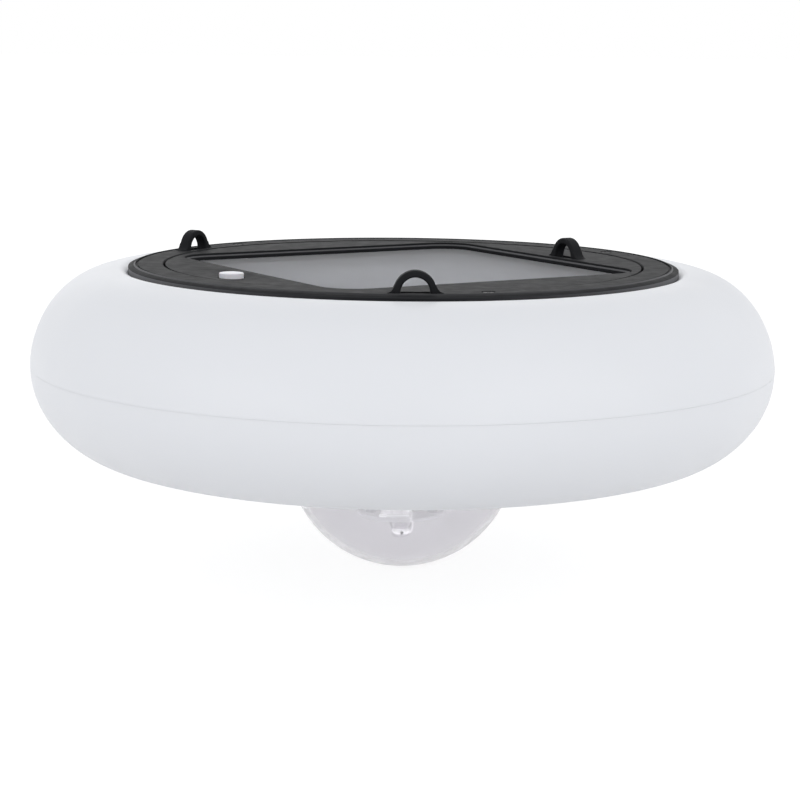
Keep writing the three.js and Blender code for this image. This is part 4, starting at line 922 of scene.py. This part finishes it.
def make_wire_block():
    """A block with three mouths for wires and a screw well above each."""
    body = block("wire_block", BLOCK_LENGTH, BLOCK_DEPTH, LAMP_TOP + CLEAR, BLOCK_TOP, 0.5, 0.35)
    cuts = []
    for i in (-1, 0, 1):
        mouth = block("mouth", 3.2, 2, LAMP_TOP + 1.1, LAMP_TOP + 3.4, 0.3, 0.1)
        well = lathe("screw_well", [
            (0, BLOCK_TOP - 1), (1.2, BLOCK_TOP - 1), (1.3, BLOCK_TOP + 1.5), (0, BLOCK_TOP + 1.5)], SMALL)
        cuts += [placed(mouth, i * MOUTH_PITCH, -2.6), placed(well, i * MOUTH_PITCH, 0.6)]
    carved(body, cuts)
    placed(placed(body, -2, -13), turn=LAMP_TURN)
    dressed(body, finishes["lit_plastic"], ["terminal_block"])


def make_lamp_post():
    low, top = CUP_TOP + CLEAR, LAMP_UNDER - CLEAR
    post = lathe("lamp_post", eased([
        (0, low), (POST_R, low, 0.2), (POST_R - 0.3, (low + top) / 2), (POST_R, top, 0.2), (0, top)]), SMALL)
    dressed(post, finishes["clear_plastic"], ["led_post"])


def make_lamp_cup():
    """The metal cup under the post, its clear lens with a reflector in it, and a dark piece on its side that
    is a painted reflection.
    """
    under = CUP_TOP - 1.6
    base = lathe("lamp_cup", eased([
        (0, under), (CUP_R - 0.25, under, 0.3), (CUP_R, CUP_TOP - 0.9, 0.5),
        (POST_R, CUP_TOP, 0.3), (0, CUP_TOP)]), SMALL)
    dressed(base, finishes["bright_metal"], ["led_base"])

    rim = under - CLEAR
    lens = lathe("lamp_lens", bowl(CUP_R, 2.5, rim) + bowl(3.9, 2.0, rim)[::-1], SMALL)
    dressed(lens, finishes["clear_plastic"], ["led_lens"])
    mirror = lathe("lamp_reflector", [(0, rim + 0.3), (3.2, rim + 0.3)] + bowl(3.75, 1.9, rim)[::-1], SMALL)
    dressed(mirror, finishes["bright_metal"])

    # A small dark piece on the cup's side: painted reflection, for the dark spot the cup reflects there
    dark_spot = lathe("lamp_dark_reflection", [(0, -0.75), (0.45, -0.7), (0.75, -0.35), (0.8, 0), (0.75, 0.35),
                               (0.45, 0.7), (0, 0.75)], 24)
    placed(placed(dark_spot, 0.5, -4.7, CUP_TOP - 1.0), turn=LAMP_TURN)
    dressed(dark_spot, finishes["component"])


def make_lamp_metal():
    """The tab beside the wire block, and the lead that runs from the block down to the cup."""
    tab = placed(block("lamp_tab", 3.4, 2.6, LAMP_TOP, LAMP_TOP + 0.9, 0.3, 0.2), -8.6, -17.3)
    dressed(placed(tab, turn=LAMP_TURN), finishes["bright_metal"])
    lead = tube("lamp_lead", [
        (3.4, -16.2, LAMP_TOP + 2.4), (3.6, -18.4, LAMP_TOP + 2.0), (4.9, -21.6, LAMP_TOP - 0.2),
        (5.6, -21.9, LAMP_TOP - 2.2), (5.3, -17.5, LAMP_TOP - 6.0), (4.4, -9, LAMP_TOP - 9.6),
        (3.2, -3.2, CUP_TOP - 1.1)], 0.32)
    dressed(placed(lead, turn=LAMP_TURN), finishes["bright_metal"])


make_upper_float()
make_lower_float()
make_bezel()
make_bezel_screws()
make_tray()
make_panel()
for eye_name in EYE_PLACES:
    make_eye(eye_name)
make_button()
make_spring()
make_dome()
make_lamp_board()
make_wire_block()
make_lamp_post()
make_lamp_cup()
make_lamp_metal()

for node_name, node in nodes.items():
    node.data.materials.clear()
    node.data.materials.append(finishes[slot_of[node_name]])
